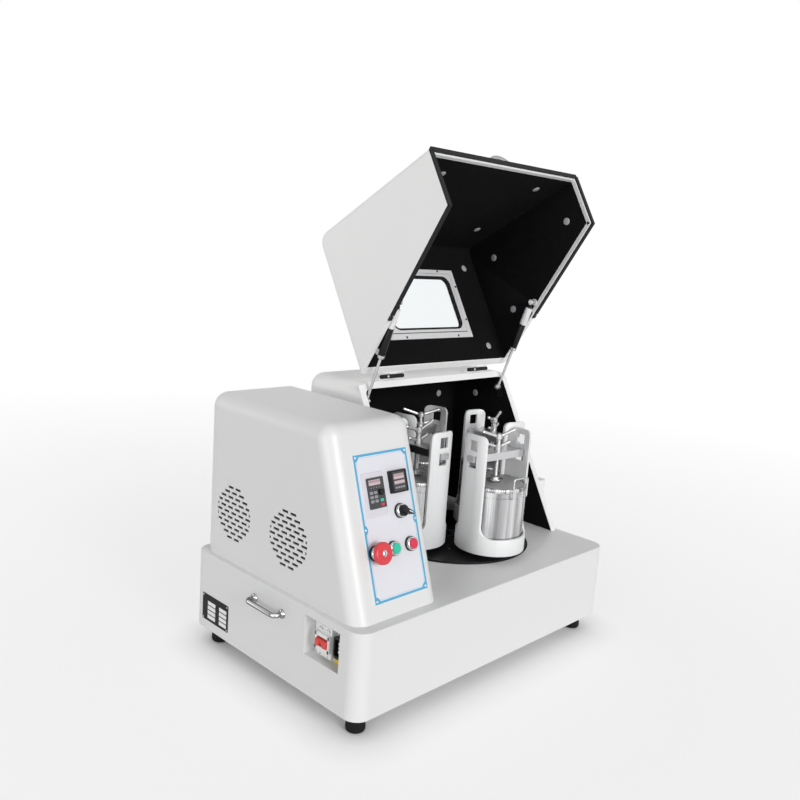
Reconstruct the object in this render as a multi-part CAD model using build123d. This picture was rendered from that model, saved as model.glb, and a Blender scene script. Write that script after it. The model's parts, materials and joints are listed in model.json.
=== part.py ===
"""Bench-top planetary ball mill with four jar stations under a hinged hood.

Millimetres. X runs along the long front, Y towards the back and Z up. The origin is the centre of
the footprint on the surface that the feet stand on. The hood lid is modelled shut and then swung
open about its hinge line, because it rests open.
"""
import os
from math import acos, asin, atan2, cos, degrees, pi, radians, sin, sqrt, tan

from build123d import *

# ---------------------------------------------------------------- base cabinet
BASE_WIDTH = 470.0
BASE_HEIGHT = 150.0
FOOT_HEIGHT = 37.0
FOOT_RADIUS = 17.0
FOOT_INSET = 38.0
BASE_CORNER = 28.0
SHEET = 2.0
FLOOR_THICKNESS = 5.0
FIT_GAP = 0.2            # between pieces that are screwed or slipped together
RUNNING_GAP = 0.05       # radial, between a shaft and its bore
REAR_INSET = 12.0        # covers stand this far inside the rear edge of the deck
DECK_EDGE_RADIUS = 2.0
OVERRUN = 5.0            # how far a cutting form runs past an open mouth

# ---------------------------------------------------------------- milling hood
HOOD_WIDTH = 453.0
HOOD_HEIGHT = 330.0
HOOD_FRONT_INSET = 7.5
HOOD_RIGHT_INSET = 11.0
HOOD_GAP = 34.0          # between the control box and the hood
SEAM_ANGLE = 61.0        # slope of the joint between lid and rear housing
SEAM_FOOT_Y = -114.4
RIM_WIDTH = 12.0         # turned-in flange round both openings
HOUSING_CORNER = 28.0
LID_CORNER = 12.0
LID_NOSE = 24.0          # radius between the lid's front and top
SEAL_THICKNESS = 4.0
SEAL_WIDTH = 8.0
SEAL_BARE_LENGTH = 105.0  # flange left without seal next to the hinges
HINGE_SETBACK = 1.5      # hinge line behind the top of the seam
HINGE_RISE = 8.0         # hinge line above the top of the hood
LID_OPEN_ANGLE = 120.0

# ---------------------------------------------------------------- lid window
WINDOW_LENGTH = 217.0
WINDOW_WIDTH = 125.0
WINDOW_CORNER = 20.0
WINDOW_FROM_HINGE = 87.0
WINDOW_FRAME_LENGTH = 288.0
WINDOW_FRAME_WIDTH = 162.0
WINDOW_FRAME_FROM_HINGE = 72.0
FRAME_THICKNESS = 2.0
PANE_THICKNESS = 4.0
GASKET_LIP = 5.0

# ---------------------------------------------------------------- hinges, struts and handles
HINGE_SPACING = 266.0
HINGE_LENGTH = 70.0
KNUCKLE_RADIUS = 5.0
HINGE_PIN_RADIUS = 2.5
LEAF_THICKNESS = 2.5
LEAF_WIDTH = 20.0
LEAF_SETBACK = 4.0       # from the pin to the near edge of a leaf
MIDDLE_KNUCKLE = 24.0
STRUT_LID_POINT = (-26.0, 381.0)     # y, z of the stud with the lid shut
STRUT_HOUSING_POINT = (64.0, 481.0)
STRUT_RADIUS = 7.5
ROD_RADIUS = 3.0
STRUT_TUBE_LENGTH = 117.0
ROD_ENGAGEMENT = 18.0    # of the rod in the tube with the lid open
STRUT_CUSHION = 4.0      # bore left beyond the rod with the lid shut
STRUT_SIDE_GAP = 2.5
STUD_RADIUS = 3.0
EYE_RADIUS = 6.0
EYE_WIDTH = 8.0
PIN_GAP = 0.5            # between a strut's upper pin and its boss on the lid
BOSS_RADIUS = 7.0
BRACKET_THICKNESS = 3.0
BRACKET_RADIUS = 7.0
BRACKET_FOOT = (14.0, 20.0)
LID_HANDLE_LENGTH = 92.0
LID_HANDLE_REACH = 26.0
LID_HANDLE_HEIGHT = 26.0
LID_HANDLE_BAR = 10.0
CARRY_HANDLE_SPACING = 80.0
CARRY_HANDLE_REACH = 22.5
CARRY_HANDLE_BAR = 4.5
CARRY_HANDLE_Z = 153.0
CARRY_FLANGE_RADIUS = 8.0

# ---------------------------------------------------------------- control box
CONTROL_WIDTH = 195.0
CONTROL_HEIGHT = 307.0
CONTROL_LEFT_INSET = 12.0
CONTROL_FRONT_INSET = 22.0
PANEL_TILT = 18.5
CONTROL_CORNER = 28.0
CONTROL_BACK_DEPTH = 32.0
OVERLAY_WIDTH = 120.0
OVERLAY_HEIGHT = 236.0
OVERLAY_THICKNESS = 1.2
OVERLAY_PLACE = (7.25, 152.0)  # across the panel and up the slope from the deck
KEYPAD_PLACE = (-18.5, 201.5)
KEYPAD_SIZE = (49.0, 73.0)
KEYPAD_PROUD = 2.0
KEY_BLOCK_OFFSET = (3.0, 2.0)
KEY_BLOCK_SIZE = (37.0, 51.0)
KEY_BLOCK_PROUD = 4.5
INSTRUMENT_LEDGE = 4.0   # each instrument's body is smaller than its face by this on every side
KEYPAD_DEPTH = 10.0
METER_PLACE = (35.5, 215.5)
METER_SIZE = (36.0, 38.0)
METER_PROUD = 9.0
METER_DEPTH = 45.0
METER_RIM = 3.0
METER_FACE_DEPTH = 1.2
SELECTOR_PLACE = (33.0, 166.0)
ESTOP_PLACE = (-37.0, 108.0)
START_PLACE = (4.5, 108.0)
STOP_PLACE = (45.0, 108.0)
SPEED_KNOB_OFFSET = (11.0, 2.5)
KNOB_SHAFT_RADIUS = 2.0
KNOB_RADIUS = 5.0
KNOB_HEIGHT = 6.0
BEZEL_RADIUS = 12.0
BEZEL_HEIGHT = 9.0
BARREL_RADIUS = 10.8
BARREL_DEPTH = 18.0
CAP_RADIUS = 9.0
CAP_PROUD = 1.5
BUTTON_TRAVEL = 3.0
ESTOP_RADIUS = 18.5
ESTOP_PROUD = 25.0
ESTOP_TRAVEL = 5.0
SELECTOR_ANGLE = -118.0  # of the lever's tip, from straight up the panel
VENT_RADIUS = 52.0
VENT_PLACES = (131.0, -30.0)
VENT_Z = 280.0
VENT_SLOT = (17.0, 4.6)
VENT_ROW_PITCH = 9.5
VENT_COLUMN_PITCH = 22.0

# ---------------------------------------------------------------- mains recess
RECESS_FROM_FRONT = 47.0
RECESS_LENGTH = 87.0
RECESS_LOW_Z = 106.0
RECESS_HIGH_Z = 175.0
RECESS_DEPTH = 24.0
BREAKER_FROM_FRONT = 96.0
MAINS_Z = 139.0          # middle of the breaker and the inlet
BREAKER_SIZE = (36.0, 54.0)
BREAKER_PROUD = 19.0
TOGGLE_RADIUS = 8.0
TOGGLE_WIDTH = 26.0
TOGGLE_REACH = 15.0
TOGGLE_PIN_RADIUS = 2.0
TOGGLE_TILT = 25.0
INLET_FROM_FRONT = 64.0
INLET_SIZE = (22.0, 42.0)
INLET_PROUD = 12.0

# ---------------------------------------------------------------- interlock box on the right wall
SIDE_BOX_REACH = 33.5
SIDE_BOX_FRONT_Y = -56.0
SIDE_BOX_LENGTH = 120.0
SIDE_BOX_LOW = 13.0
SIDE_BOX_HIGH = 96.5

# ---------------------------------------------------------------- planetary drive
MODULE = 4.0
SUN_TEETH = 20
IDLER_TEETH = 13
PLANET_TEETH = 10
PRESSURE_ANGLE = 25.0
ADDENDUM = 0.8           # stub teeth, in modules
DEDENDUM = 1.05
BACKLASH = 0.25
GEAR_WIDTH = 12.0
GEAR_TOP_GAP = 6.0
STATIONS = 4
FIRST_STATION_ANGLE = -93.0
ARM_ANGLES = (-5.0, 82.0, 10.0, 90.0)  # direction of each crossbar
DISC_RADIUS = 163.0
DISC_THICKNESS = 12.0
DISC_PROUD = 3.0
DECK_OPENING_GAP = 2.5
SHAFT_RADIUS = 18.0
SPINDLE_RADIUS = 12.0
SPINDLE_BOSS_RADIUS = 30.0
IDLER_PIN_RADIUS = 8.0
HUB_RADIUS = 32.0
TOWER_RADIUS = 34.0
BRIDGE_Z = 112.0
BRIDGE_THICKNESS = 10.0
BRIDGE_SIZE = 320.0
COLUMN_RADIUS = 11.0
COLUMN_OFFSET = 145.0
SPEED_RATIO = 4.0
MOTOR_BELT_RADIUS = 30.0
BELT_WIDTH = 13.0
BELT_THICKNESS = 8.0
BELT_Z = 77.0
PULLEY_CHEEK = 5.0
BELT_GAP = 0.08
MOTOR_RADIUS = 65.0
MOTOR_FLANGE_RADIUS = 80.0
MOTOR_FLANGE = 10.0
MOTOR_LENGTH = 210.0
MOTOR_SHAFT_RADIUS = 9.5
MOTOR_HOLE_RADIUS = 45.0

# ---------------------------------------------------------------- jar stations
HOLDER_RADIUS = 70.0
HOLDER_WALL = 4.5
HOLDER_LIFT = 12.0       # floor of the holder above the disc
HOLDER_FLOOR = 8.0
HOLDER_RING = 33.0
HOLDER_HEIGHT = 234.0
ARM_WIDTH = 58.0
ARM_CORNER = 12.0
CUTOUT_RADIUS = 22.0
SLOT_WIDTH = 21.0
LOW_SLOT = (168.0, 192.5)
HIGH_SLOT = (202.0, 223.0)
JAR_HEIGHT = 117.0
JAR_WALL = 6.0
JAR_BASE = 8.0
JAR_LID_THICKNESS = 7.5
JAR_LID_PLUG = 6.0
BAIL_WIRE = 2.0
BAIL_WIDTH = 38.0
BAIL_HEIGHT = 39.0
BAIL_FOOT = 108.0        # above the jar's base
BAIL_GAP = 3.0
BAR_HEIGHT = 12.0
BAR_OVERHANG = 5.0
BAR_END_WIDTH = 18.0
BAR_MIDDLE_WIDTH = 36.0
PAD_RADIUS = 16.0
PAD_THICKNESS = 6.0
PAD_HUB_RADIUS = 8.5
PAD_HUB_HEIGHT = 6.0
SCREW_RADIUS = 5.0
SCREW_TOP = 230.0
WING_LENGTH = 40.0
NUT_WING_LENGTH = 28.0
WING_RADIUS = 3.0
WING_RISE = 18.0
WING_HUB_RADIUS = 6.5
WING_HUB_HEIGHT = 10.0
WING_ANGLES = (-14.0, 20.0, -32.0, 5.0)

# ---------------------------------------------------------------- worked out
DECK_Z = FOOT_HEIGHT + BASE_HEIGHT
HOOD_TOP = DECK_Z + HOOD_HEIGHT
BASE_LENGTH = CONTROL_LEFT_INSET + CONTROL_WIDTH + HOOD_GAP + HOOD_WIDTH + HOOD_RIGHT_INSET
FRONT_Y = -BASE_WIDTH / 2
REAR_Y = BASE_WIDTH / 2
LEFT_X = -BASE_LENGTH / 2
COVER_REAR_Y = REAR_Y - REAR_INSET
HOOD_RIGHT_X = BASE_LENGTH / 2 - HOOD_RIGHT_INSET
MILL_X = HOOD_RIGHT_X - HOOD_WIDTH / 2
LID_FRONT_Y = FRONT_Y + HOOD_FRONT_INSET
SEAM_RUN = 1 / tan(radians(SEAM_ANGLE))
SEAM_TOP_Y = SEAM_FOOT_Y + HOOD_HEIGHT * SEAM_RUN
HINGE_Y = SEAM_TOP_Y + HINGE_SETBACK
HINGE_Z = HOOD_TOP + HINGE_RISE
LINING_INSET = SHEET + FIT_GAP
STRUT_OFFSET = HOOD_WIDTH / 2 - RIM_WIDTH - STRUT_SIDE_GAP - STRUT_RADIUS
RECESS_FRONT_Y = FRONT_Y + RECESS_FROM_FRONT
RECESS_BACK_Y = RECESS_FRONT_Y + RECESS_LENGTH
BREAKER_PLACE = (FRONT_Y + BREAKER_FROM_FRONT, MAINS_Z)
INLET_PLACE = (FRONT_Y + INLET_FROM_FRONT, MAINS_Z)

CONTROL_X = LEFT_X + CONTROL_LEFT_INSET + CONTROL_WIDTH / 2
CONTROL_FOOT_Y = FRONT_Y + CONTROL_FRONT_INSET
CONTROL_SEAM_Y = COVER_REAR_Y - CONTROL_BACK_DEPTH
PANEL = Plane(
    origin=(CONTROL_X, CONTROL_FOOT_Y, DECK_Z),
    x_dir=(1, 0, 0),
    z_dir=(0, -cos(radians(PANEL_TILT)), sin(radians(PANEL_TILT))),
)

ORBIT_RADIUS = MODULE * (SUN_TEETH + 2 * IDLER_TEETH + PLANET_TEETH) / 2
IDLER_ORBIT = MODULE * (SUN_TEETH + IDLER_TEETH) / 2
DISC_TOP = DECK_Z + DISC_PROUD
DISC_BOTTOM = DISC_TOP - DISC_THICKNESS
GEAR_TOP = DISC_BOTTOM - GEAR_TOP_GAP
GEAR_BOTTOM = GEAR_TOP - GEAR_WIDTH
HOLDER_Z = DISC_TOP + HOLDER_LIFT
JAR_RADIUS = HOLDER_RADIUS - HOLDER_WALL - 1.0
JAR_Z = HOLDER_Z + HOLDER_FLOOR + FIT_GAP
JAR_LID_Z = JAR_Z + JAR_HEIGHT + FIT_GAP
JAR_LID_TOP = JAR_LID_Z + JAR_LID_THICKNESS
BAR_TOP = HOLDER_Z + LOW_SLOT[1] - FIT_GAP
PAD_Z = JAR_LID_TOP + FIT_GAP
DRIVEN_BELT_RADIUS = MOTOR_BELT_RADIUS * SPEED_RATIO
PULLEY_HEIGHT = BELT_WIDTH + 2 * PULLEY_CHEEK + 2 * FIT_GAP


# ---------------------------------------------------------------- shared helpers
def rod(start, end, radius):
    """Round bar between two points."""
    start, end = Vector(*start), Vector(*end)
    along = end - start
    return Plane(origin=start, z_dir=along) * extrude(Circle(radius), along.length)


def seam_y(z, gap):
    """Y of the sloping joint at height z, moved square to itself by gap towards the back."""
    return SEAM_FOOT_Y + (z - DECK_Z) * SEAM_RUN + gap / sin(radians(SEAM_ANGLE))


def touches_seam(edge, gap):
    """True for an edge that lies in the sloping joint plane."""
    return all(abs(p.Y - seam_y(p.Z, gap)) < 0.01 for p in (edge @ 0, edge @ 0.5, edge @ 1))


def extruded_profile(points, width, centre_x):
    """Prism across the hood from points (y, z)."""
    face = make_face(Polyline(*points, close=True))
    return Pos(centre_x, 0, 0) * extrude(Plane.YZ * face, width / 2, both=True)


def round_side_edges(solid, centre_x, half_width, radius, keep):
    """Fillet the edges of both flat ends, apart from those that keep() returns true for."""
    chosen = [
        edge
        for edge in solid.edges()
        if abs(abs((edge @ 0.5).X - centre_x) - half_width) < 0.01
        and abs(abs((edge @ 0).X - centre_x) - half_width) < 0.01
        and not keep(edge)
    ]
    return fillet(chosen, radius)


def cross_edges(solid, y, z):
    """Edges that run along X through the point (y, z)."""
    return [
        edge
        for edge in solid.edges().filter_by(Axis.X)
        if abs((edge @ 0.5).Y - y) < 0.01 and abs((edge @ 0.5).Z - z) < 0.01
    ]


def open_lid(piece):
    """Swing a piece of the shut lid to its open rest position."""
    return Pos(0, HINGE_Y, HINGE_Z) * Rot(-LID_OPEN_ANGLE, 0, 0) * Pos(0, -HINGE_Y, -HINGE_Z) * piece


# ---------------------------------------------------------------- base
def base_cabinet():
    outer = Pos(0, 0, FOOT_HEIGHT) * extrude(
        RectangleRounded(BASE_LENGTH, BASE_WIDTH, BASE_CORNER), BASE_HEIGHT
    )
    outer = fillet(outer.edges().group_by(Axis.Z)[-1], DECK_EDGE_RADIUS)
    inside = Pos(0, 0, FOOT_HEIGHT) * extrude(
        RectangleRounded(BASE_LENGTH - 2 * SHEET, BASE_WIDTH - 2 * SHEET, BASE_CORNER - SHEET),
        BASE_HEIGHT - SHEET,
    )
    recess_y = (RECESS_FRONT_Y + RECESS_BACK_Y) / 2
    recess_z = (RECESS_LOW_Z + RECESS_HIGH_Z) / 2
    recess_width = RECESS_BACK_Y - RECESS_FRONT_Y
    recess_height = RECESS_HIGH_Z - RECESS_LOW_Z
    to_inside = (Align.MIN, Align.CENTER, Align.CENTER)
    pocket = Pos(LEFT_X, recess_y, recess_z) * Box(
        RECESS_DEPTH + SHEET, recess_width + 2 * SHEET, recess_height + 2 * SHEET, align=to_inside
    )
    hollow = Pos(LEFT_X, recess_y, recess_z) * Box(
        RECESS_DEPTH, recess_width, recess_height, align=to_inside
    )
    deck_hole = Pos(MILL_X, 0, DECK_Z) * Cylinder(DISC_RADIUS + DECK_OPENING_GAP, 4 * SHEET)
    motor_hole = Pos(CONTROL_X, 0, DECK_Z) * Cylinder(MOTOR_HOLE_RADIUS, 4 * SHEET)
    return outer - inside + pocket - hollow - deck_hole - motor_hole


def base_plate():
    margin = 2 * (SHEET + FIT_GAP)
    return Pos(0, 0, FOOT_HEIGHT) * extrude(
        RectangleRounded(BASE_LENGTH - margin, BASE_WIDTH - margin, BASE_CORNER - margin / 2),
        FLOOR_THICKNESS,
    )


def feet():
    foot = Cylinder(FOOT_RADIUS, FOOT_HEIGHT, align=(Align.CENTER, Align.CENTER, Align.MIN))
    foot = chamfer(foot.edges().group_by(Axis.Z)[0], 3.0)
    spots = GridLocations(BASE_LENGTH - 2 * FOOT_INSET, BASE_WIDTH - 2 * FOOT_INSET, 2, 2)
    return Compound(children=[spot * foot for spot in spots])


def carry_handle(side):
    """Bow handle with two round flanges, on the left (-1) or the right (1) wall."""
    wall = side * BASE_LENGTH / 2
    reach = side * (CARRY_HANDLE_REACH - CARRY_HANDLE_BAR)
    half = CARRY_HANDLE_SPACING / 2
    path = FilletPolyline(
        (wall, -half, CARRY_HANDLE_Z),
        (wall + reach, -half, CARRY_HANDLE_Z),
        (wall + reach, half, CARRY_HANDLE_Z),
        (wall, half, CARRY_HANDLE_Z),
        radius=9.0,
    )
    bow = sweep(Plane(origin=path @ 0, z_dir=path % 0) * Circle(CARRY_HANDLE_BAR), path)
    for y in (-half, half):
        bow += rod((wall, y, CARRY_HANDLE_Z), (wall + side * 3.0, y, CARRY_HANDLE_Z), CARRY_FLANGE_RADIUS)
    return bow


def side_handles():
    return Compound(children=[carry_handle(-1), carry_handle(1)])


# ---------------------------------------------------------------- hood forms
def housing_form(inset, seam_gap, floor_z, corner):
    """Rear half of the hood, with its walls moved in by inset and its mouth by seam_gap."""
    top = HOOD_TOP - inset
    rear = COVER_REAR_Y - inset
    half_width = HOOD_WIDTH / 2 - inset
    body = extruded_profile(
        [(seam_y(floor_z, seam_gap), floor_z), (seam_y(top, seam_gap), top), (rear, top), (rear, floor_z)],
        2 * half_width,
        MILL_X,
    )

    def stays_sharp(edge):
        on_floor = abs((edge @ 0).Z - floor_z) < 0.01 and abs((edge @ 1).Z - floor_z) < 0.01
        return on_floor or touches_seam(edge, seam_gap)

    body = fillet(cross_edges(body, rear, top), corner)
    return round_side_edges(body, MILL_X, half_width, corner, stays_sharp)


def lid_form(inset, seam_gap, corner, nose):
    """Front half of the hood, shut, with its mouth planes moved in by seam_gap."""
    top = HOOD_TOP - inset
    front = LID_FRONT_Y + inset
    low = DECK_Z + seam_gap
    half_width = HOOD_WIDTH / 2 - inset
    body = extruded_profile(
        [(front, low), (seam_y(low, -seam_gap), low), (seam_y(top, -seam_gap), top), (front, top)],
        2 * half_width,
        MILL_X,
    )

    def stays_sharp(edge):
        on_deck = abs((edge @ 0).Z - low) < 0.01 and abs((edge @ 1).Z - low) < 0.01
        return on_deck or touches_seam(edge, -seam_gap)

    body = fillet(cross_edges(body, front, top), nose)
    return round_side_edges(body, MILL_X, half_width, corner, stays_sharp)


def rear_housing():
    shell = housing_form(0, 0, DECK_Z, HOUSING_CORNER)
    shell -= housing_form(SHEET, SHEET, DECK_Z - OVERRUN, HOUSING_CORNER - SHEET)
    return shell - housing_form(RIM_WIDTH, -OVERRUN, DECK_Z - OVERRUN, HOUSING_CORNER - RIM_WIDTH)


def housing_liner():
    foam = housing_form(LINING_INSET, LINING_INSET, DECK_Z + FIT_GAP, HOUSING_CORNER - LINING_INSET)
    return foam - housing_form(RIM_WIDTH, -OVERRUN, DECK_Z - OVERRUN, HOUSING_CORNER - RIM_WIDTH)


def window_opening(margin, depth_from, depth_to):
    """Rounded block through the lid's top, with each side moved out by margin."""
    middle_y = SEAM_TOP_Y - WINDOW_FROM_HINGE - WINDOW_WIDTH / 2
    outline = RectangleRounded(WINDOW_LENGTH + 2 * margin, WINDOW_WIDTH + 2 * margin, WINDOW_CORNER + margin)
    return Pos(MILL_X, middle_y, HOOD_TOP + depth_from) * extrude(outline, depth_to - depth_from)


def lid_throat():
    return lid_form(RIM_WIDTH, -OVERRUN, 1.0, LID_NOSE - RIM_WIDTH)


def strut_boss(side, radius):
    """Boss on the lid's side wall, through the liner, that faces a strut's upper pin."""
    y, z = STRUT_LID_POINT
    wall_x = MILL_X + side * (HOOD_WIDTH / 2 - SHEET / 2)
    face_x = MILL_X + side * (STRUT_OFFSET + STRUT_RADIUS + PIN_GAP)
    return rod((wall_x, y, z), (face_x, y, z), radius)


def lid_shell():
    shell = lid_form(0, SEAL_THICKNESS, LID_CORNER, LID_NOSE)
    shell -= lid_form(SHEET, SEAL_THICKNESS + SHEET, LID_CORNER - SHEET, LID_NOSE - SHEET)
    shell -= lid_throat()
    shell -= window_opening(0, -2 * SHEET, SHEET)
    for side in (-1, 1):
        shell += strut_boss(side, BOSS_RADIUS)
    return open_lid(shell)


def lid_liner():
    foam_gap = SEAL_THICKNESS + LINING_INSET
    foam = lid_form(LINING_INSET, foam_gap, LID_CORNER - LINING_INSET, LID_NOSE - LINING_INSET)
    foam -= lid_throat()
    foam -= window_opening(0, -2 * RIM_WIDTH, SHEET)
    for side in (-1, 1):
        foam -= strut_boss(side, BOSS_RADIUS + FIT_GAP)
    lip_low = -RIM_WIDTH - FRAME_THICKNESS
    gasket = window_opening(-FIT_GAP, lip_low, FIT_GAP) + window_opening(3.0, FIT_GAP, 2.0)
    gasket -= window_opening(-GASKET_LIP, 2 * lip_low, SHEET + 1)
    pane_low = lip_low + 4.0
    gasket -= window_opening(-GASKET_LIP / 2, pane_low, pane_low + PANE_THICKNESS)
    return Compound(children=[open_lid(foam), open_lid(gasket)])


def window_pane():
    pane_low = -RIM_WIDTH - FRAME_THICKNESS + 4.0
    return open_lid(
        window_opening(-GASKET_LIP / 2 - FIT_GAP, pane_low + FIT_GAP / 2, pane_low + PANE_THICKNESS - FIT_GAP / 2)
    )


def window_frame():
    middle_y = SEAM_TOP_Y - WINDOW_FRAME_FROM_HINGE - WINDOW_FRAME_WIDTH / 2
    top_z = HOOD_TOP - RIM_WIDTH - FIT_GAP / 2
    plate = Pos(MILL_X, middle_y, top_z - FRAME_THICKNESS) * extrude(
        RectangleRounded(WINDOW_FRAME_LENGTH, WINDOW_FRAME_WIDTH, 2.0), FRAME_THICKNESS
    )
    return open_lid(plate - window_opening(FIT_GAP, -2 * RIM_WIDTH, 0))


def lid_seal():
    """Foam strip on the lid's flange: along the deck and up both slopes, short of the hinges."""
    ring = lid_form(0, FIT_GAP, LID_CORNER, LID_NOSE)
    ring -= lid_form(0, SEAL_THICKNESS - FIT_GAP, LID_CORNER, LID_NOSE)
    ring -= lid_form(SEAL_WIDTH, -OVERRUN, LID_CORNER - SEAL_WIDTH, LID_NOSE - SEAL_WIDTH)
    stop_z = HOOD_TOP - SEAL_BARE_LENGTH * sin(radians(SEAM_ANGLE))
    bare = Pos(MILL_X, 0, stop_z) * Box(
        2 * HOOD_WIDTH, 2 * BASE_WIDTH, HOOD_HEIGHT, align=(Align.CENTER, Align.CENTER, Align.MIN)
    )
    return open_lid(ring - bare)


def lid_handle():
    """Arched pull on the lid's front face."""
    half = LID_HANDLE_LENGTH / 2
    arch = make_face(
        ThreePointArc((-half, 0), (0, -LID_HANDLE_REACH), (half, 0)) + Line((half, 0), (-half, 0))
    )
    inner_half = half - 9.0
    hollow = make_face(
        ThreePointArc((-inner_half, 0), (0, 8.0 - LID_HANDLE_REACH), (inner_half, 0))
        + Line((inner_half, 0), (-inner_half, 0))
    )
    bow = extrude(arch - hollow, LID_HANDLE_BAR / 2, both=True)
    return open_lid(Pos(MILL_X, LID_FRONT_Y, DECK_Z + LID_HANDLE_HEIGHT) * bow)


# ---------------------------------------------------------------- hinges
def hinge_half(centre_x, direction, knuckles):
    """Leaf and knuckles of one hinge: direction 1 is the housing's half, -1 the lid's."""
    leaf_z = HOOD_TOP + LEAF_THICKNESS / 2 + FIT_GAP / 2
    leaf_y = HINGE_Y + direction * (LEAF_WIDTH / 2 + LEAF_SETBACK)
    half = Pos(centre_x, leaf_y, leaf_z) * Box(HINGE_LENGTH, LEAF_WIDTH, LEAF_THICKNESS - FIT_GAP)
    for offset, length in knuckles:
        web_y = HINGE_Y + direction * 4.5
        half += Pos(centre_x + offset, web_y, (leaf_z + HINGE_Z) / 2) * Box(
            length, 3.5, HINGE_Z - leaf_z + LEAF_THICKNESS - FIT_GAP
        )
        half += rod(
            (centre_x + offset - length / 2, HINGE_Y, HINGE_Z),
            (centre_x + offset + length / 2, HINGE_Y, HINGE_Z),
            KNUCKLE_RADIUS,
        )
    return half


def hinge_centres():
    return [MILL_X - HINGE_SPACING / 2, MILL_X + HINGE_SPACING / 2]


END_KNUCKLE = (HINGE_LENGTH - MIDDLE_KNUCKLE) / 2 - FIT_GAP


def hinges_fixed():
    end_offset = (HINGE_LENGTH - END_KNUCKLE) / 2
    halves = []
    for x in hinge_centres():
        half = hinge_half(x, 1, [(-end_offset, END_KNUCKLE), (end_offset, END_KNUCKLE)])
        half += rod(
            (x - HINGE_LENGTH / 2, HINGE_Y, HINGE_Z), (x + HINGE_LENGTH / 2, HINGE_Y, HINGE_Z), HINGE_PIN_RADIUS
        )
        halves.append(half)
    return Compound(children=halves)


def hinges_moving():
    halves = []
    for x in hinge_centres():
        half = hinge_half(x, -1, [(0, MIDDLE_KNUCKLE)])
        half -= rod(
            (x - HINGE_LENGTH, HINGE_Y, HINGE_Z), (x + HINGE_LENGTH, HINGE_Y, HINGE_Z), HINGE_PIN_RADIUS + RUNNING_GAP
        )
        halves.append(open_lid(half))
    return Compound(children=halves)


# ---------------------------------------------------------------- gas struts
def swung(y, z):
    """Open-lid position of a point given with the lid shut."""
    turn = radians(-LID_OPEN_ANGLE)
    dy, dz = y - HINGE_Y, z - HINGE_Z
    return HINGE_Y + dy * cos(turn) - dz * sin(turn), HINGE_Z + dy * sin(turn) + dz * cos(turn)


STRUT_TOP = swung(*STRUT_LID_POINT)
STRUT_OPEN_LENGTH = sqrt(
    (STRUT_HOUSING_POINT[0] - STRUT_TOP[0]) ** 2 + (STRUT_HOUSING_POINT[1] - STRUT_TOP[1]) ** 2
)
STRUT_SHUT_LENGTH = sqrt(
    (STRUT_HOUSING_POINT[0] - STRUT_LID_POINT[0]) ** 2 + (STRUT_HOUSING_POINT[1] - STRUT_LID_POINT[1]) ** 2
)
STRUT_STROKE = STRUT_OPEN_LENGTH - STRUT_SHUT_LENGTH


def strut_plane(side):
    """Origin on the lid stud, Z along the strut towards the housing, X across the hood."""
    along = (0, STRUT_HOUSING_POINT[0] - STRUT_TOP[0], STRUT_HOUSING_POINT[1] - STRUT_TOP[1])
    return Plane(
        origin=(MILL_X + side * STRUT_OFFSET, STRUT_TOP[0], STRUT_TOP[1]), x_dir=(1, 0, 0), z_dir=along
    )


def eye(distance, bore):
    """Cross-drilled end of a strut, at a distance along it."""
    ring = rod((-EYE_WIDTH / 2, 0, distance), (EYE_WIDTH / 2, 0, distance), EYE_RADIUS)
    if bore:
        ring -= rod((-EYE_WIDTH, 0, distance), (EYE_WIDTH, 0, distance), bore)
    return ring


def strut_tubes():
    tubes = []
    for side in (-1, 1):
        neck = rod((0, 0, EYE_RADIUS - 1.5), (0, 0, 14.0), 3.5)
        barrel = rod((0, 0, 12.0), (0, 0, STRUT_TUBE_LENGTH), STRUT_RADIUS)
        bore_start = STRUT_TUBE_LENGTH - STRUT_STROKE - ROD_ENGAGEMENT - STRUT_CUSHION
        barrel -= rod((0, 0, bore_start), (0, 0, STRUT_TUBE_LENGTH + 1), ROD_RADIUS + RUNNING_GAP)
        pin = rod((0, 0, 0), (side * STRUT_RADIUS, 0, 0), STUD_RADIUS)
        tubes.append(strut_plane(side) * (eye(0, None) + neck + barrel + pin))
    return Compound(children=tubes)


def strut_rods():
    rods = []
    for side in (-1, 1):
        shaft = rod(
            (0, 0, STRUT_TUBE_LENGTH - ROD_ENGAGEMENT), (0, 0, STRUT_OPEN_LENGTH - EYE_RADIUS + 1.5), ROD_RADIUS
        )
        rods.append(strut_plane(side) * (shaft + eye(STRUT_OPEN_LENGTH, STUD_RADIUS + RUNNING_GAP)))
    return Compound(children=rods)


def strut_brackets():
    """Plates on the housing's side walls, each with the stud that a strut's lower eye turns on."""
    y, z = STRUT_HOUSING_POINT
    width, height = BRACKET_FOOT
    plates = []
    for side in (-1, 1):
        wall_x = MILL_X + side * (HOOD_WIDTH / 2 - RIM_WIDTH - FIT_GAP)
        plate = rod((wall_x, y, z), (wall_x - side * BRACKET_THICKNESS, y, z), BRACKET_RADIUS)
        foot_z = z - BRACKET_RADIUS / 2 - height / 2
        plate += Pos(wall_x - side * BRACKET_THICKNESS / 2, y, foot_z) * Box(BRACKET_THICKNESS, width, height)
        tip_x = MILL_X + side * (STRUT_OFFSET - EYE_WIDTH / 2 - STUD_RADIUS / 2)
        plate += rod((wall_x, y, z), (tip_x, y, z), STUD_RADIUS)
        plates.append(plate)
    return Compound(children=plates)


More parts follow.
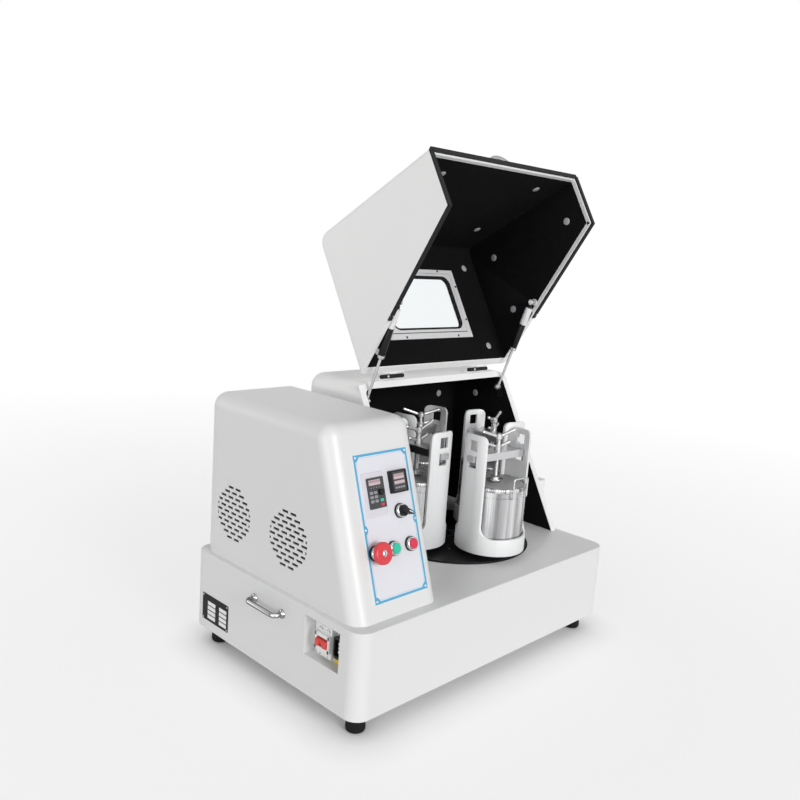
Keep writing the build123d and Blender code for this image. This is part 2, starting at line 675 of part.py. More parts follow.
# ---------------------------------------------------------------- control box
def control_form(inset, floor_z, corner):
    """Wedge with a sloping front, with its walls moved in by inset."""
    slope = tan(radians(PANEL_TILT))
    front_inset = inset / cos(radians(PANEL_TILT))
    top = DECK_Z + CONTROL_HEIGHT - inset
    rear = COVER_REAR_Y - inset
    half_width = CONTROL_WIDTH / 2 - inset
    low_front = CONTROL_FOOT_Y + (floor_z - DECK_Z) * slope + front_inset
    high_front = CONTROL_FOOT_Y + (top - DECK_Z) * slope + front_inset
    body = extruded_profile(
        [(low_front, floor_z), (high_front, top), (rear, top), (rear, floor_z)], 2 * half_width, CONTROL_X
    )
    edges = [edge for edge in body.edges() if max((edge @ 0).Z, (edge @ 1).Z) > floor_z + 0.01]
    return fillet(edges, corner)


def on_panel(place, height, piece):
    """Put a piece on the sloping panel, at a place (across, up the slope) and a height off it."""
    return PANEL * Pos(place[0], place[1], height) * piece


def vent_slots():
    """Two round fields of short level slots in staggered columns."""
    cutters = []
    rows = int(VENT_RADIUS // VENT_ROW_PITCH)
    wall_x = CONTROL_X - CONTROL_WIDTH / 2
    for centre_y in VENT_PLACES:
        for row in range(-rows, rows + 1):
            shift = VENT_COLUMN_PITCH / 2 if row % 2 else 0.0
            reach = sqrt(VENT_RADIUS**2 - (row * VENT_ROW_PITCH) ** 2)
            for column in range(-3, 4):
                middle = column * VENT_COLUMN_PITCH + shift
                low = max(middle - VENT_SLOT[0] / 2, -reach)
                high = min(middle + VENT_SLOT[0] / 2, reach)
                if high - low > VENT_SLOT[1]:
                    place = Pos(wall_x, centre_y + (low + high) / 2, VENT_Z + row * VENT_ROW_PITCH)
                    cutters.append(place * Box(4 * SHEET, high - low, VENT_SLOT[1]))
    return cutters


def instrument_body(face_size):
    """Width and height of the part of an instrument that goes through the panel."""
    return face_size[0] - 2 * INSTRUMENT_LEDGE, face_size[1] - 2 * INSTRUMENT_LEDGE


def device_holes(clearance, depth):
    """Cutters for everything that passes through the sloping panel."""
    cutters = []
    for place in (SELECTOR_PLACE, ESTOP_PLACE, START_PLACE, STOP_PLACE):
        cutters.append(on_panel(place, 0, Cylinder(BARREL_RADIUS + clearance, depth)))
    for place, size in ((KEYPAD_PLACE, KEYPAD_SIZE), (METER_PLACE, METER_SIZE)):
        width, height = instrument_body(size)
        cutters.append(on_panel(place, 0, Box(width + 2 * clearance, height + 2 * clearance, depth)))
    return cutters


def control_shell():
    """Whole skin of the control box, before it is parted."""
    return control_form(0, DECK_Z, CONTROL_CORNER) - control_form(SHEET, DECK_Z - OVERRUN, CONTROL_CORNER - SHEET)


def behind(y):
    """Everything behind y."""
    side = 4 * CONTROL_HEIGHT
    return Pos(CONTROL_X, y, DECK_Z) * Box(side, side, side, align=(Align.CENTER, Align.MIN, Align.CENTER))


def control_box():
    """Sloping front, sides and top, open at the back."""
    shell = control_shell() - behind(CONTROL_SEAM_Y - FIT_GAP)
    return shell - vent_slots() - device_holes(FIT_GAP, 6 * SHEET)


def control_back():
    """Dished rear cover with the rear corners."""
    return control_shell() & behind(CONTROL_SEAM_Y)


def control_overlay():
    sheet = extrude(RectangleRounded(OVERLAY_WIDTH, OVERLAY_HEIGHT, 3.0), OVERLAY_THICKNESS)
    return on_panel(OVERLAY_PLACE, 0, sheet) - device_holes(FIT_GAP, 6 * SHEET)


def panel_instruments():
    """Speed drive keypad and tachometer, each with a body through the panel."""
    keypad = extrude(RectangleRounded(*KEYPAD_SIZE, 2.0), KEYPAD_PROUD)
    keypad += Pos(*KEY_BLOCK_OFFSET) * extrude(RectangleRounded(*KEY_BLOCK_SIZE, 1.5), KEY_BLOCK_PROUD)
    keypad += Pos(0, 0, -KEYPAD_DEPTH) * extrude(Rectangle(*instrument_body(KEYPAD_SIZE)), KEYPAD_DEPTH)
    keypad -= Pos(*SPEED_KNOB_OFFSET, 0) * Cylinder(KNOB_SHAFT_RADIUS + RUNNING_GAP, 3 * KEYPAD_DEPTH)
    meter = extrude(RectangleRounded(*METER_SIZE, 2.0), METER_PROUD)
    face = Rectangle(METER_SIZE[0] - 2 * METER_RIM, METER_SIZE[1] - 2 * METER_RIM)
    meter -= Pos(0, 0, METER_PROUD - METER_FACE_DEPTH) * extrude(face, SHEET)
    meter += Pos(0, 0, -METER_DEPTH) * extrude(Rectangle(*instrument_body(METER_SIZE)), METER_DEPTH)
    return Compound(
        children=[
            on_panel(KEYPAD_PLACE, OVERLAY_THICKNESS, keypad),
            on_panel(METER_PLACE, OVERLAY_THICKNESS, meter),
        ]
    )


def speed_knob():
    low = KEY_BLOCK_PROUD + FIT_GAP
    shaft = Pos(0, 0, -KNOB_HEIGHT) * extrude(Circle(KNOB_SHAFT_RADIUS), 2 * KNOB_HEIGHT)
    cap = Pos(0, 0, low) * extrude(Circle(KNOB_RADIUS), KNOB_HEIGHT)
    cap = chamfer(cap.edges().group_by(Axis.Z)[-1], 1.0)
    cap -= Pos(0, 0.7 * KNOB_RADIUS, low + KNOB_HEIGHT) * Box(1.0, KNOB_RADIUS, 1.2)
    place = (KEYPAD_PLACE[0] + SPEED_KNOB_OFFSET[0], KEYPAD_PLACE[1] + SPEED_KNOB_OFFSET[1])
    return on_panel(place, OVERLAY_THICKNESS, shaft + cap)


def bezel():
    """Threaded barrel with a round collar, bored for a cap."""
    collar = extrude(Circle(BEZEL_RADIUS), BEZEL_HEIGHT)
    collar = chamfer(collar.edges().group_by(Axis.Z)[-1], 1.5)
    barrel = Pos(0, 0, -BARREL_DEPTH) * extrude(Circle(BARREL_RADIUS), BARREL_DEPTH)
    return collar + barrel - Cylinder(CAP_RADIUS + RUNNING_GAP, 4 * BARREL_DEPTH)


def switch_bezels():
    places = (SELECTOR_PLACE, ESTOP_PLACE, START_PLACE, STOP_PLACE)
    return Compound(children=[on_panel(place, OVERLAY_THICKNESS, bezel()) for place in places])


def push_cap(place):
    cap = Pos(0, 0, -BARREL_DEPTH) * extrude(Circle(CAP_RADIUS), BARREL_DEPTH + BEZEL_HEIGHT + CAP_PROUD)
    cap = chamfer(cap.edges().group_by(Axis.Z)[-1], 0.8)
    return on_panel(place, OVERLAY_THICKNESS, cap)


def estop_button():
    stem = Pos(0, 0, -BARREL_DEPTH) * extrude(Circle(CAP_RADIUS), BARREL_DEPTH + ESTOP_PROUD - 10)
    head_low = BEZEL_HEIGHT + ESTOP_TRAVEL + 1.0
    head = Pos(0, 0, head_low) * extrude(Circle(ESTOP_RADIUS), ESTOP_PROUD - head_low)
    head = fillet(head.edges().group_by(Axis.Z)[-1], 4.0)
    head = chamfer(head.edges().group_by(Axis.Z)[0], 1.5)
    return on_panel(ESTOP_PLACE, OVERLAY_THICKNESS, stem + head)


def selector_knob():
    """Turning lever with a pointer tip that overhangs its collar."""
    stem = Pos(0, 0, -BARREL_DEPTH) * extrude(Circle(CAP_RADIUS), BARREL_DEPTH + BEZEL_HEIGHT + 2)
    low = BEZEL_HEIGHT + 0.4
    disc = Pos(0, 0, low) * extrude(Circle(9.5), 3.0)
    tapered = make_face(Polyline((-4.5, -8.5), (4.5, -8.5), (2.6, 15.0), (-2.6, 15.0), close=True))
    grip_outline = fillet(tapered.vertices(), 1.8)
    grip = Pos(0, 0, low) * extrude(grip_outline, 12.0)
    grip = chamfer(grip.edges().group_by(Axis.Z)[-1], 0.8)
    return on_panel(SELECTOR_PLACE, OVERLAY_THICKNESS, stem + disc + Rot(0, 0, SELECTOR_ANGLE) * grip)


# ---------------------------------------------------------------- mains recess
def breaker_face_x():
    return LEFT_X + RECESS_DEPTH - BREAKER_PROUD


def power_entry():
    """Two-pole breaker and appliance inlet on the back wall of the recess."""
    wall_x = LEFT_X + RECESS_DEPTH
    outwards = (Align.MAX, Align.CENTER, Align.CENTER)
    y, z = BREAKER_PLACE
    breaker = Pos(wall_x, y, z) * Box(BREAKER_PROUD - 6, BREAKER_SIZE[0], BREAKER_SIZE[1], align=outwards)
    breaker += Pos(wall_x, y, z) * Box(BREAKER_PROUD, BREAKER_SIZE[0], BREAKER_SIZE[1] * 0.56, align=outwards)
    breaker -= Pos(breaker_face_x(), y, z) * Box(
        2 * (TOGGLE_RADIUS + 1.0), TOGGLE_WIDTH + 2 * FIT_GAP, 2 * (TOGGLE_RADIUS + FIT_GAP)
    )
    pivot = TOGGLE_PIN_RADIUS
    breaker += rod(
        (breaker_face_x() + 1, y - TOGGLE_WIDTH / 2 - 1, z), (breaker_face_x() + 1, y + TOGGLE_WIDTH / 2 + 1, z), pivot
    )
    y, z = INLET_PLACE
    turned = Plane(origin=(wall_x, y, z), x_dir=(0, -1, 0), z_dir=(-1, 0, 0))
    inlet = extrude(RectangleRounded(*INLET_SIZE, 6.0), INLET_PROUD)
    inlet -= Pos(0, 0, 3.0) * extrude(RectangleRounded(INLET_SIZE[0] - 6, INLET_SIZE[1] - 12, 4.0), INLET_PROUD)
    for offset in (-8.0, 0.0, 8.0):
        inlet += Pos(0, offset, 2.0) * extrude(Rectangle(2.0, 4.0), 5.0)
    return Compound(children=[breaker, turned * inlet])


def breaker_toggle():
    y, z = BREAKER_PLACE
    drum_x = breaker_face_x() + 1
    drum = rod((drum_x, y - TOGGLE_WIDTH / 2, z), (drum_x, y + TOGGLE_WIDTH / 2, z), TOGGLE_RADIUS - 0.5)
    lever = Rot(0, -TOGGLE_TILT, 0) * Pos(-TOGGLE_REACH / 2, 0, 0) * Box(TOGGLE_REACH, TOGGLE_WIDTH, 5.0)
    toggle = drum + Pos(drum_x, y, z) * lever
    return toggle - rod((drum_x, y - TOGGLE_WIDTH, z), (drum_x, y + TOGGLE_WIDTH, z), TOGGLE_PIN_RADIUS + RUNNING_GAP)


def side_box():
    """Lid interlock box on the right wall of the rear housing."""
    height = SIDE_BOX_HIGH - SIDE_BOX_LOW
    block = Pos(HOOD_RIGHT_X, SIDE_BOX_FRONT_Y, DECK_Z + SIDE_BOX_LOW) * Box(
        SIDE_BOX_REACH, SIDE_BOX_LENGTH, height, align=(Align.MIN, Align.MIN, Align.MIN)
    )
    outer = block.edges().filter_by(Axis.Z).group_by(Axis.X)[-1]
    return fillet(outer, 8.0)


# ---------------------------------------------------------------- gears
def involute(angle):
    return tan(angle) - angle


def spur_gear(teeth, phase):
    """Spur gear with involute flanks; phase is the angle of one tooth's middle, in radians."""
    pitch_radius = MODULE * teeth / 2
    base_radius = pitch_radius * cos(radians(PRESSURE_ANGLE))
    tip_radius = pitch_radius + ADDENDUM * MODULE
    root_radius = pitch_radius - DEDENDUM * MODULE
    half_at_pitch = pi / (2 * teeth) - BACKLASH / (4 * pitch_radius)
    flank_start = max(base_radius, root_radius)
    radii = [root_radius] if root_radius < base_radius else []
    radii += [flank_start, (flank_start + tip_radius) / 2, tip_radius]
    half_angles = [
        half_at_pitch
        + involute(radians(PRESSURE_ANGLE))
        - involute(acos(min(1.0, base_radius / max(r, base_radius))))
        for r in radii
    ]
    outline = []
    for tooth in range(teeth):
        middle = phase + 2 * pi * tooth / teeth
        rising = [(r, middle - half) for r, half in zip(radii, half_angles)]
        falling = [(r, middle + half) for r, half in reversed(list(zip(radii, half_angles)))]
        outline += [(r * cos(a), r * sin(a)) for r, a in rising + falling]
    return Pos(0, 0, GEAR_BOTTOM) * extrude(make_face(Polyline(*outline, close=True)), GEAR_WIDTH)


def meshed_phase(teeth_a, phase_a, teeth_b, direction):
    """Phase of gear b that puts its spaces on the teeth of gear a, b lying at direction from a."""
    offset_a = (phase_a - direction) * teeth_a / (2 * pi)
    return direction + pi + (0.5 - offset_a) * 2 * pi / teeth_b


def station_direction(index):
    return radians(FIRST_STATION_ANGLE + index * 360 / STATIONS)


def at_radius(radius, index):
    """Place on the turntable, at a radius in the direction of a station."""
    direction = station_direction(index)
    return Pos(MILL_X + radius * cos(direction), radius * sin(direction), 0)


def standing(radius, low, high):
    """Upright round bar between two heights."""
    return Pos(0, 0, low) * extrude(Circle(radius), high - low)


def sun_gear():
    gear = spur_gear(SUN_TEETH, 0.0) - standing(SHAFT_RADIUS + 1.0, GEAR_BOTTOM - 1, GEAR_TOP + 1)
    return Pos(MILL_X, 0, 0) * gear


def idler_phase(index):
    return meshed_phase(SUN_TEETH, 0.0, IDLER_TEETH, station_direction(index))


def planet_phase(index):
    return meshed_phase(IDLER_TEETH, idler_phase(index), PLANET_TEETH, station_direction(index))


def idler_gear(index):
    gear = spur_gear(IDLER_TEETH, idler_phase(index))
    gear -= standing(IDLER_PIN_RADIUS + RUNNING_GAP, GEAR_BOTTOM - 1, GEAR_TOP + 1)
    return at_radius(IDLER_ORBIT, index) * gear


def bearing_frame():
    """Bridge on four columns with the tower that holds the main shaft and the fixed sun gear."""
    bridge = Pos(0, 0, BRIDGE_Z) * extrude(RectangleRounded(BRIDGE_SIZE, BRIDGE_SIZE, 20.0), BRIDGE_THICKNESS)
    frame = bridge + standing(TOWER_RADIUS, BRIDGE_Z - 12.0, GEAR_BOTTOM)
    frame += standing(TOWER_RADIUS + 22.0, BRIDGE_Z, BRIDGE_Z + BRIDGE_THICKNESS + 8.0)
    for spot in GridLocations(2 * COLUMN_OFFSET, 2 * COLUMN_OFFSET, 2, 2):
        frame += spot * standing(COLUMN_RADIUS, FOOT_HEIGHT + FLOOR_THICKNESS, BRIDGE_Z)
    frame -= standing(SHAFT_RADIUS + RUNNING_GAP, BRIDGE_Z - 20, GEAR_TOP)
    return Pos(MILL_X, 0, 0) * frame


def turntable():
    """Disc with a hub, four spindle bosses and four idler pins."""
    disc = Pos(MILL_X, 0, 0) * standing(DISC_RADIUS, DISC_BOTTOM, DISC_TOP)
    disc += Pos(MILL_X, 0, 0) * standing(HUB_RADIUS, GEAR_TOP + 0.5, DISC_BOTTOM)
    for index in range(STATIONS):
        disc += at_radius(ORBIT_RADIUS, index) * standing(SPINDLE_BOSS_RADIUS, DISC_TOP, HOLDER_Z - 0.3)
        disc += at_radius(ORBIT_RADIUS, index) * standing(SPINDLE_RADIUS + 5.0, GEAR_TOP + 0.3, DISC_BOTTOM)
        disc -= at_radius(ORBIT_RADIUS, index) * standing(SPINDLE_RADIUS + RUNNING_GAP, GEAR_TOP, HOLDER_Z)
        pin = standing(IDLER_PIN_RADIUS + 4.0, GEAR_TOP + 0.3, DISC_BOTTOM)
        pin += standing(IDLER_PIN_RADIUS, GEAR_BOTTOM - 2.0, GEAR_TOP + 0.3)
        pin += standing(IDLER_PIN_RADIUS + 4.0, GEAR_BOTTOM - 4.0, GEAR_BOTTOM - 0.3)
        disc += at_radius(IDLER_ORBIT, index) * pin
    return disc - Pos(MILL_X, 0, 0) * standing(SHAFT_RADIUS + FIT_GAP, GEAR_TOP, DISC_TOP - 3.0)


def pulley_section(belt_radius, hub_radius):
    """Grooved rim round a web, with its hub left for the caller."""
    rim = standing(belt_radius + BELT_THICKNESS + 2.0, BELT_Z - PULLEY_HEIGHT / 2, BELT_Z + PULLEY_HEIGHT / 2)
    groove = standing(belt_radius + 20.0, BELT_Z - BELT_WIDTH / 2 - FIT_GAP, BELT_Z + BELT_WIDTH / 2 + FIT_GAP)
    groove -= standing(belt_radius - BELT_GAP, BELT_Z - PULLEY_HEIGHT, BELT_Z + PULLEY_HEIGHT)
    rim -= groove
    if belt_radius > 2 * hub_radius:
        for low, high in ((BELT_Z + 4.0, BELT_Z + PULLEY_HEIGHT), (BELT_Z - PULLEY_HEIGHT, BELT_Z - 4.0)):
            rim -= standing(belt_radius - 10.0, low, high) - standing(hub_radius, low, high)
    return rim


def main_shaft():
    """Shaft with its keyed belt pulley."""
    shaft = standing(SHAFT_RADIUS, BELT_Z - PULLEY_HEIGHT, DISC_TOP - 3.0 - FIT_GAP)
    return Pos(MILL_X, 0, 0) * (shaft + pulley_section(DRIVEN_BELT_RADIUS, SHAFT_RADIUS + 12.0))


def motor():
    """Flange motor that hangs its shaft through the deck."""
    body = standing(MOTOR_FLANGE_RADIUS, DECK_Z, DECK_Z + MOTOR_FLANGE)
    body += standing(MOTOR_RADIUS, DECK_Z + MOTOR_FLANGE, DECK_Z + MOTOR_FLANGE + MOTOR_LENGTH)
    fins = 12
    for fin in range(fins):
        rib = Pos(MOTOR_RADIUS, 0, DECK_Z + 30) * Box(12, 4, 140, align=(Align.CENTER, Align.CENTER, Align.MIN))
        body += Rot(0, 0, fin * 360 / fins) * rib
    body -= standing(MOTOR_SHAFT_RADIUS + RUNNING_GAP, DECK_Z - 1, DECK_Z + 60)
    return Pos(CONTROL_X, 0, 0) * body


def motor_pulley():
    shaft = standing(MOTOR_SHAFT_RADIUS, BELT_Z - PULLEY_HEIGHT / 2 - 3.0, DECK_Z + 58)
    return Pos(CONTROL_X, 0, 0) * (shaft + pulley_section(MOTOR_BELT_RADIUS, MOTOR_SHAFT_RADIUS + 8))


def belt_loop(extra):
    """Outline of a belt round both pulleys, grown by extra."""
    span = MILL_X - CONTROL_X
    small, large = MOTOR_BELT_RADIUS + extra, DRIVEN_BELT_RADIUS + extra
    lean = asin((large - small) / span)
    small_x, small_y = CONTROL_X - small * sin(lean), small * cos(lean)
    large_x, large_y = MILL_X - large * sin(lean), large * cos(lean)
    outline = (
        Line((small_x, small_y), (large_x, large_y))
        + ThreePointArc((large_x, large_y), (MILL_X + large, 0), (large_x, -large_y))
        + Line((large_x, -large_y), (small_x, -small_y))
        + ThreePointArc((small_x, -small_y), (CONTROL_X - small, 0), (small_x, small_y))
    )
    return make_face(outline)


def drive_belt():
    ring = belt_loop(BELT_THICKNESS) - belt_loop(0)
    return Pos(0, 0, BELT_Z - BELT_WIDTH / 2) * extrude(ring, BELT_WIDTH)


# ---------------------------------------------------------------- jar stations
def at_station(index, piece):
    """Put a piece made on the Z axis at a station, with its crossbar direction along X."""
    return at_radius(ORBIT_RADIUS, index) * Rot(0, 0, ARM_ANGLES[index]) * piece


def jar_holder(index):
    """Cup with two slotted arms, and the spindle with its planet gear."""
    height = HOLDER_HEIGHT
    outline = Rectangle(2 * HOLDER_RADIUS + 2, HOLDER_RING, align=(Align.CENTER, Align.MIN))
    outline += Rectangle(ARM_WIDTH, height, align=(Align.CENTER, Align.MIN))
    inner_corners = [v for v in outline.vertices() if abs(v.Y - HOLDER_RING) < 0.01 and abs(v.X) < HOLDER_RADIUS]
    outline = fillet(inner_corners, CUTOUT_RADIUS)
    outline = fillet(outline.vertices().group_by(Axis.Y)[-1], ARM_CORNER)
    keep = extrude(Plane.YZ * outline, HOLDER_RADIUS + 1, both=True)
    tube = standing(HOLDER_RADIUS, 0, height) - standing(HOLDER_RADIUS - HOLDER_WALL, HOLDER_FLOOR, height)
    cup = tube & keep
    for low, high in (LOW_SLOT, HIGH_SLOT):
        cup -= Pos(0, 0, (low + high) / 2) * Box(3 * HOLDER_RADIUS, SLOT_WIDTH, high - low)
    cup -= standing(SPINDLE_RADIUS + RUNNING_GAP, -1, HOLDER_FLOOR + 1)
    cup = Pos(0, 0, HOLDER_Z) * cup
    spindle = standing(SPINDLE_RADIUS, GEAR_BOTTOM, HOLDER_Z + HOLDER_FLOOR - 1.0)
    gear = at_radius(ORBIT_RADIUS, index) * (spindle + spur_gear(PLANET_TEETH, planet_phase(index)))
    return Compound(children=[at_station(index, cup), gear])


def bail():
    """Wire pull whose ends stand in the jar's wall."""
    low = JAR_Z + BAIL_FOOT
    seat = JAR_WALL / 2 - JAR_RADIUS
    reach = -JAR_RADIUS - BAIL_GAP - BAIL_WIRE
    half = BAIL_WIDTH / 2
    path = FilletPolyline(
        (-half, seat, low),
        (-half, reach, low),
        (-half, reach, low + BAIL_HEIGHT),
        (half, reach, low + BAIL_HEIGHT),
        (half, reach, low),
        (half, seat, low),
        radius=4.0,
    )
    return sweep(Plane(origin=path @ 0, z_dir=path % 0) * Circle(BAIL_WIRE), path)


def jar(index):
    """Milling jar, its lid and its wire pull."""
    pot = standing(JAR_RADIUS, JAR_Z, JAR_Z + JAR_HEIGHT)
    pot = chamfer(pot.edges().group_by(Axis.Z)[0], 2.0)
    seat_y = JAR_WALL / 2 - JAR_RADIUS
    for x in (-BAIL_WIDTH / 2, BAIL_WIDTH / 2):
        start = (x, -JAR_RADIUS - BAIL_GAP, JAR_Z + BAIL_FOOT)
        pot -= rod(start, (x, seat_y + RUNNING_GAP, JAR_Z + BAIL_FOOT), BAIL_WIRE + RUNNING_GAP)
    pot -= standing(JAR_RADIUS - JAR_WALL, JAR_Z + JAR_BASE, JAR_Z + JAR_HEIGHT + 1)
    cover = standing(JAR_RADIUS, JAR_LID_Z, JAR_LID_TOP)
    cover = chamfer(cover.edges().group_by(Axis.Z)[-1], 1.5)
    cover += standing(JAR_RADIUS - JAR_WALL - FIT_GAP, JAR_LID_Z - JAR_LID_PLUG, JAR_LID_Z)
    return Compound(children=[at_station(index, piece) for piece in (pot, cover, bail())])


def crossbar(index):
    """Bar through both arms, wider round its tapped hole."""
    half = HOLDER_RADIUS + BAR_OVERHANG
    neck = HOLDER_RADIUS - 10.0
    end, middle = BAR_END_WIDTH / 2, BAR_MIDDLE_WIDTH / 2
    outline = make_face(
        Polyline((-neck, end), (-half, end), (-half, -end), (-neck, -end))
        + ThreePointArc((-neck, -end), (0, -middle), (neck, -end))
        + Polyline((neck, -end), (half, -end), (half, end), (neck, end))
        + ThreePointArc((neck, end), (0, middle), (-neck, end))
    )
    bar = Pos(0, 0, BAR_TOP - BAR_HEIGHT) * extrude(outline, BAR_HEIGHT)
    bar -= standing(SCREW_RADIUS + RUNNING_GAP, BAR_TOP - 2 * BAR_HEIGHT, BAR_TOP + 1)
    return at_station(index, bar)


def clamp_pad(index):
    """Pressure foot that swivels on the end of the screw."""
    pad = standing(PAD_RADIUS, PAD_Z, PAD_Z + PAD_THICKNESS)
    pad = chamfer(pad.edges().group_by(Axis.Z)[-1], 2.0)
    pad += standing(PAD_HUB_RADIUS, PAD_Z + PAD_THICKNESS, PAD_Z + PAD_THICKNESS + PAD_HUB_HEIGHT)
    pad -= standing(SCREW_RADIUS + RUNNING_GAP, PAD_Z + 3.0, PAD_Z + 30)
    return at_station(index, pad)


def wing_handle(low, length):
    """Hub with two rising arms."""
    handle = standing(WING_HUB_RADIUS, low, low + WING_HUB_HEIGHT)
    rise = length * tan(radians(WING_RISE))
    for side in (-1, 1):
        start = (side * 3.0, 0, low + WING_HUB_HEIGHT / 2)
        handle += rod(start, (side * length, 0, low + WING_HUB_HEIGHT / 2 + rise), WING_RADIUS)
    return handle


def clamp_screw(index):
    """Clamp screw with its wing handle, and the winged lock nut above the crossbar."""
    top = HOLDER_Z + SCREW_TOP
    screw = standing(SCREW_RADIUS, PAD_Z + 3.0 + FIT_GAP, top)
    screw += wing_handle(top - WING_HUB_HEIGHT - 1.5, WING_LENGTH)
    nut = wing_handle(BAR_TOP + 0.3, NUT_WING_LENGTH)
    nut -= standing(SCREW_RADIUS + RUNNING_GAP, BAR_TOP - 1, BAR_TOP + 40)
    turn = Rot(0, 0, WING_ANGLES[index])
    place = at_radius(ORBIT_RADIUS, index) * turn
    return Compound(children=[place * screw, place * nut])


# ---------------------------------------------------------------- all nodes
def all_nodes():
    nodes = {
        "base_cabinet": base_cabinet(),
        "base_plate": base_plate(),
        "feet": feet(),
        "side_handles": side_handles(),
        "bearing_frame": bearing_frame(),
        "sun_gear": sun_gear(),
        "motor": motor(),
        "motor_pulley": motor_pulley(),
        "drive_belt": drive_belt(),
        "turntable": turntable(),
        "main_shaft": main_shaft(),
        "control_box": control_box(),
        "control_back": control_back(),
        "control_overlay": control_overlay(),
        "panel_instruments": panel_instruments(),
        "speed_knob": speed_knob(),
        "switch_bezels": switch_bezels(),
        "selector_knob": selector_knob(),
        "start_button": push_cap(START_PLACE),
        "stop_button": push_cap(STOP_PLACE),
        "estop_button": estop_button(),
        "power_entry": power_entry(),
        "breaker_toggle": breaker_toggle(),
        "side_box": side_box(),
        "rear_housing": rear_housing(),
        "housing_liner": housing_liner(),
        "lid_shell": lid_shell(),
        "lid_liner": lid_liner(),
        "lid_seal": lid_seal(),
        "window_frame": window_frame(),
        "window_pane": window_pane(),
        "lid_handle": lid_handle(),
        "hinges_fixed": hinges_fixed(),
        "hinges_moving": hinges_moving(),
        "strut_tubes": strut_tubes(),
        "strut_rods": strut_rods(),
        "strut_brackets": strut_brackets(),
    }
    for index in range(STATIONS):
        number = index + 1
        nodes[f"idler_gear_{number}"] = idler_gear(index)
        nodes[f"jar_holder_{number}"] = jar_holder(index)
        nodes[f"jar_{number}"] = jar(index)
        nodes[f"crossbar_{number}"] = crossbar(index)
        nodes[f"clamp_pad_{number}"] = clamp_pad(index)
        nodes[f"clamp_screw_{number}"] = clamp_screw(index)
    return nodes


os.makedirs("parts", exist_ok=True)
for name, shape in all_nodes().items():
    export_step(shape, f"parts/{name}.step")
print("hinge", round(HINGE_Y, 3), round(HINGE_Z, 3), "mill x", MILL_X, "orbit", ORBIT_RADIUS)
print("strut stroke", round(STRUT_STROKE, 3), "open stud", STRUT_TOP)
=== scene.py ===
"""Dresses a packed planetary ball mill: finishes, fittings and a plain studio, laid out as an add-on."""
import json
import math

import bmesh
import bpy
from mathutils import Matrix, Vector

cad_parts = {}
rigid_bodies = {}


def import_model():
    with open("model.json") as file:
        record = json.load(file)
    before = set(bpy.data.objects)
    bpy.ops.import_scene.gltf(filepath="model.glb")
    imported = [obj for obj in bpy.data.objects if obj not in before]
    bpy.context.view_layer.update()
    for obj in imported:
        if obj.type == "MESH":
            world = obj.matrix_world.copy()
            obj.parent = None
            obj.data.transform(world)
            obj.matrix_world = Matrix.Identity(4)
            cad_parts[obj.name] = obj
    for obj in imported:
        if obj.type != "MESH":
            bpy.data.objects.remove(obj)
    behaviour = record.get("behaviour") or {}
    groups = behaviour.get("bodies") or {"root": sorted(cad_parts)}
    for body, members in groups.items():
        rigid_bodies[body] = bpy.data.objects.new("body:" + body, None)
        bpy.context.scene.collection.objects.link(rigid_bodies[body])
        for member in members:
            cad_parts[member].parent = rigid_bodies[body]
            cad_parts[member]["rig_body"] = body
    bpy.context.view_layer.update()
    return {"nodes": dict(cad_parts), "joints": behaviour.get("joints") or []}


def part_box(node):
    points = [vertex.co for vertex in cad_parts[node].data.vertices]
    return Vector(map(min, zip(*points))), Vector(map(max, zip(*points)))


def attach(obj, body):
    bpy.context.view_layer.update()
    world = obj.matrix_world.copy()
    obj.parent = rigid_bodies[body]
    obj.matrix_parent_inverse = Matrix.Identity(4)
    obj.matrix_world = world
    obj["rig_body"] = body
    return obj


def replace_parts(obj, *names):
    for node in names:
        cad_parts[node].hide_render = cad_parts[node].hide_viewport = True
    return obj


bl_info = {
    "name": "Planetary Ball Mill Dresser",
    "version": (1, 0, 0),
    "blender": (4, 5, 0),
    "location": "View3D > Sidebar > Ball Mill",
    "description": "Finishes and fittings for a four-station planetary ball mill",
    "category": "Object",
}

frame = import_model()
JOINTS = {joint["name"]: joint for joint in frame["joints"]}
STATIONS = (1, 2, 3, 4)
MM = 0.001


# ---------------------------------------------------------------- places worked out from the frame
def corners(node):
    """Lowest and highest corner of a node, in millimetres."""
    low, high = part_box(node)
    return low / MM, high / MM


CABINET_LOW, CABINET_HIGH = corners("base_cabinet")
CONTROL_LOW, CONTROL_HIGH = corners("control_box")
HOUSING_LOW, HOUSING_HIGH = corners("rear_housing")
DISC_LOW, DISC_HIGH = corners("turntable")
DECK_Z = CABINET_HIGH.z
DISC_TOP = DECK_Z + 3.0
JAR_RADIUS = 64.5
JAR_FLOOR = corners("jar_1")[0].z
BAR_TOP = corners("crossbar_1")[1].z
BLOCK_TOP = BAR_TOP + 4.0
PAD_FLOOR = corners("clamp_pad_1")[0].z
MILL_X = (DISC_LOW.x + DISC_HIGH.x) / 2
HOOD_TOP = HOUSING_HIGH.z
HOOD_HALF = (HOUSING_HIGH.x - HOUSING_LOW.x) / 2


def joint_point(name):
    """A joint's point in millimetres."""
    return Vector(JOINTS[name]["pos_m"]) / MM


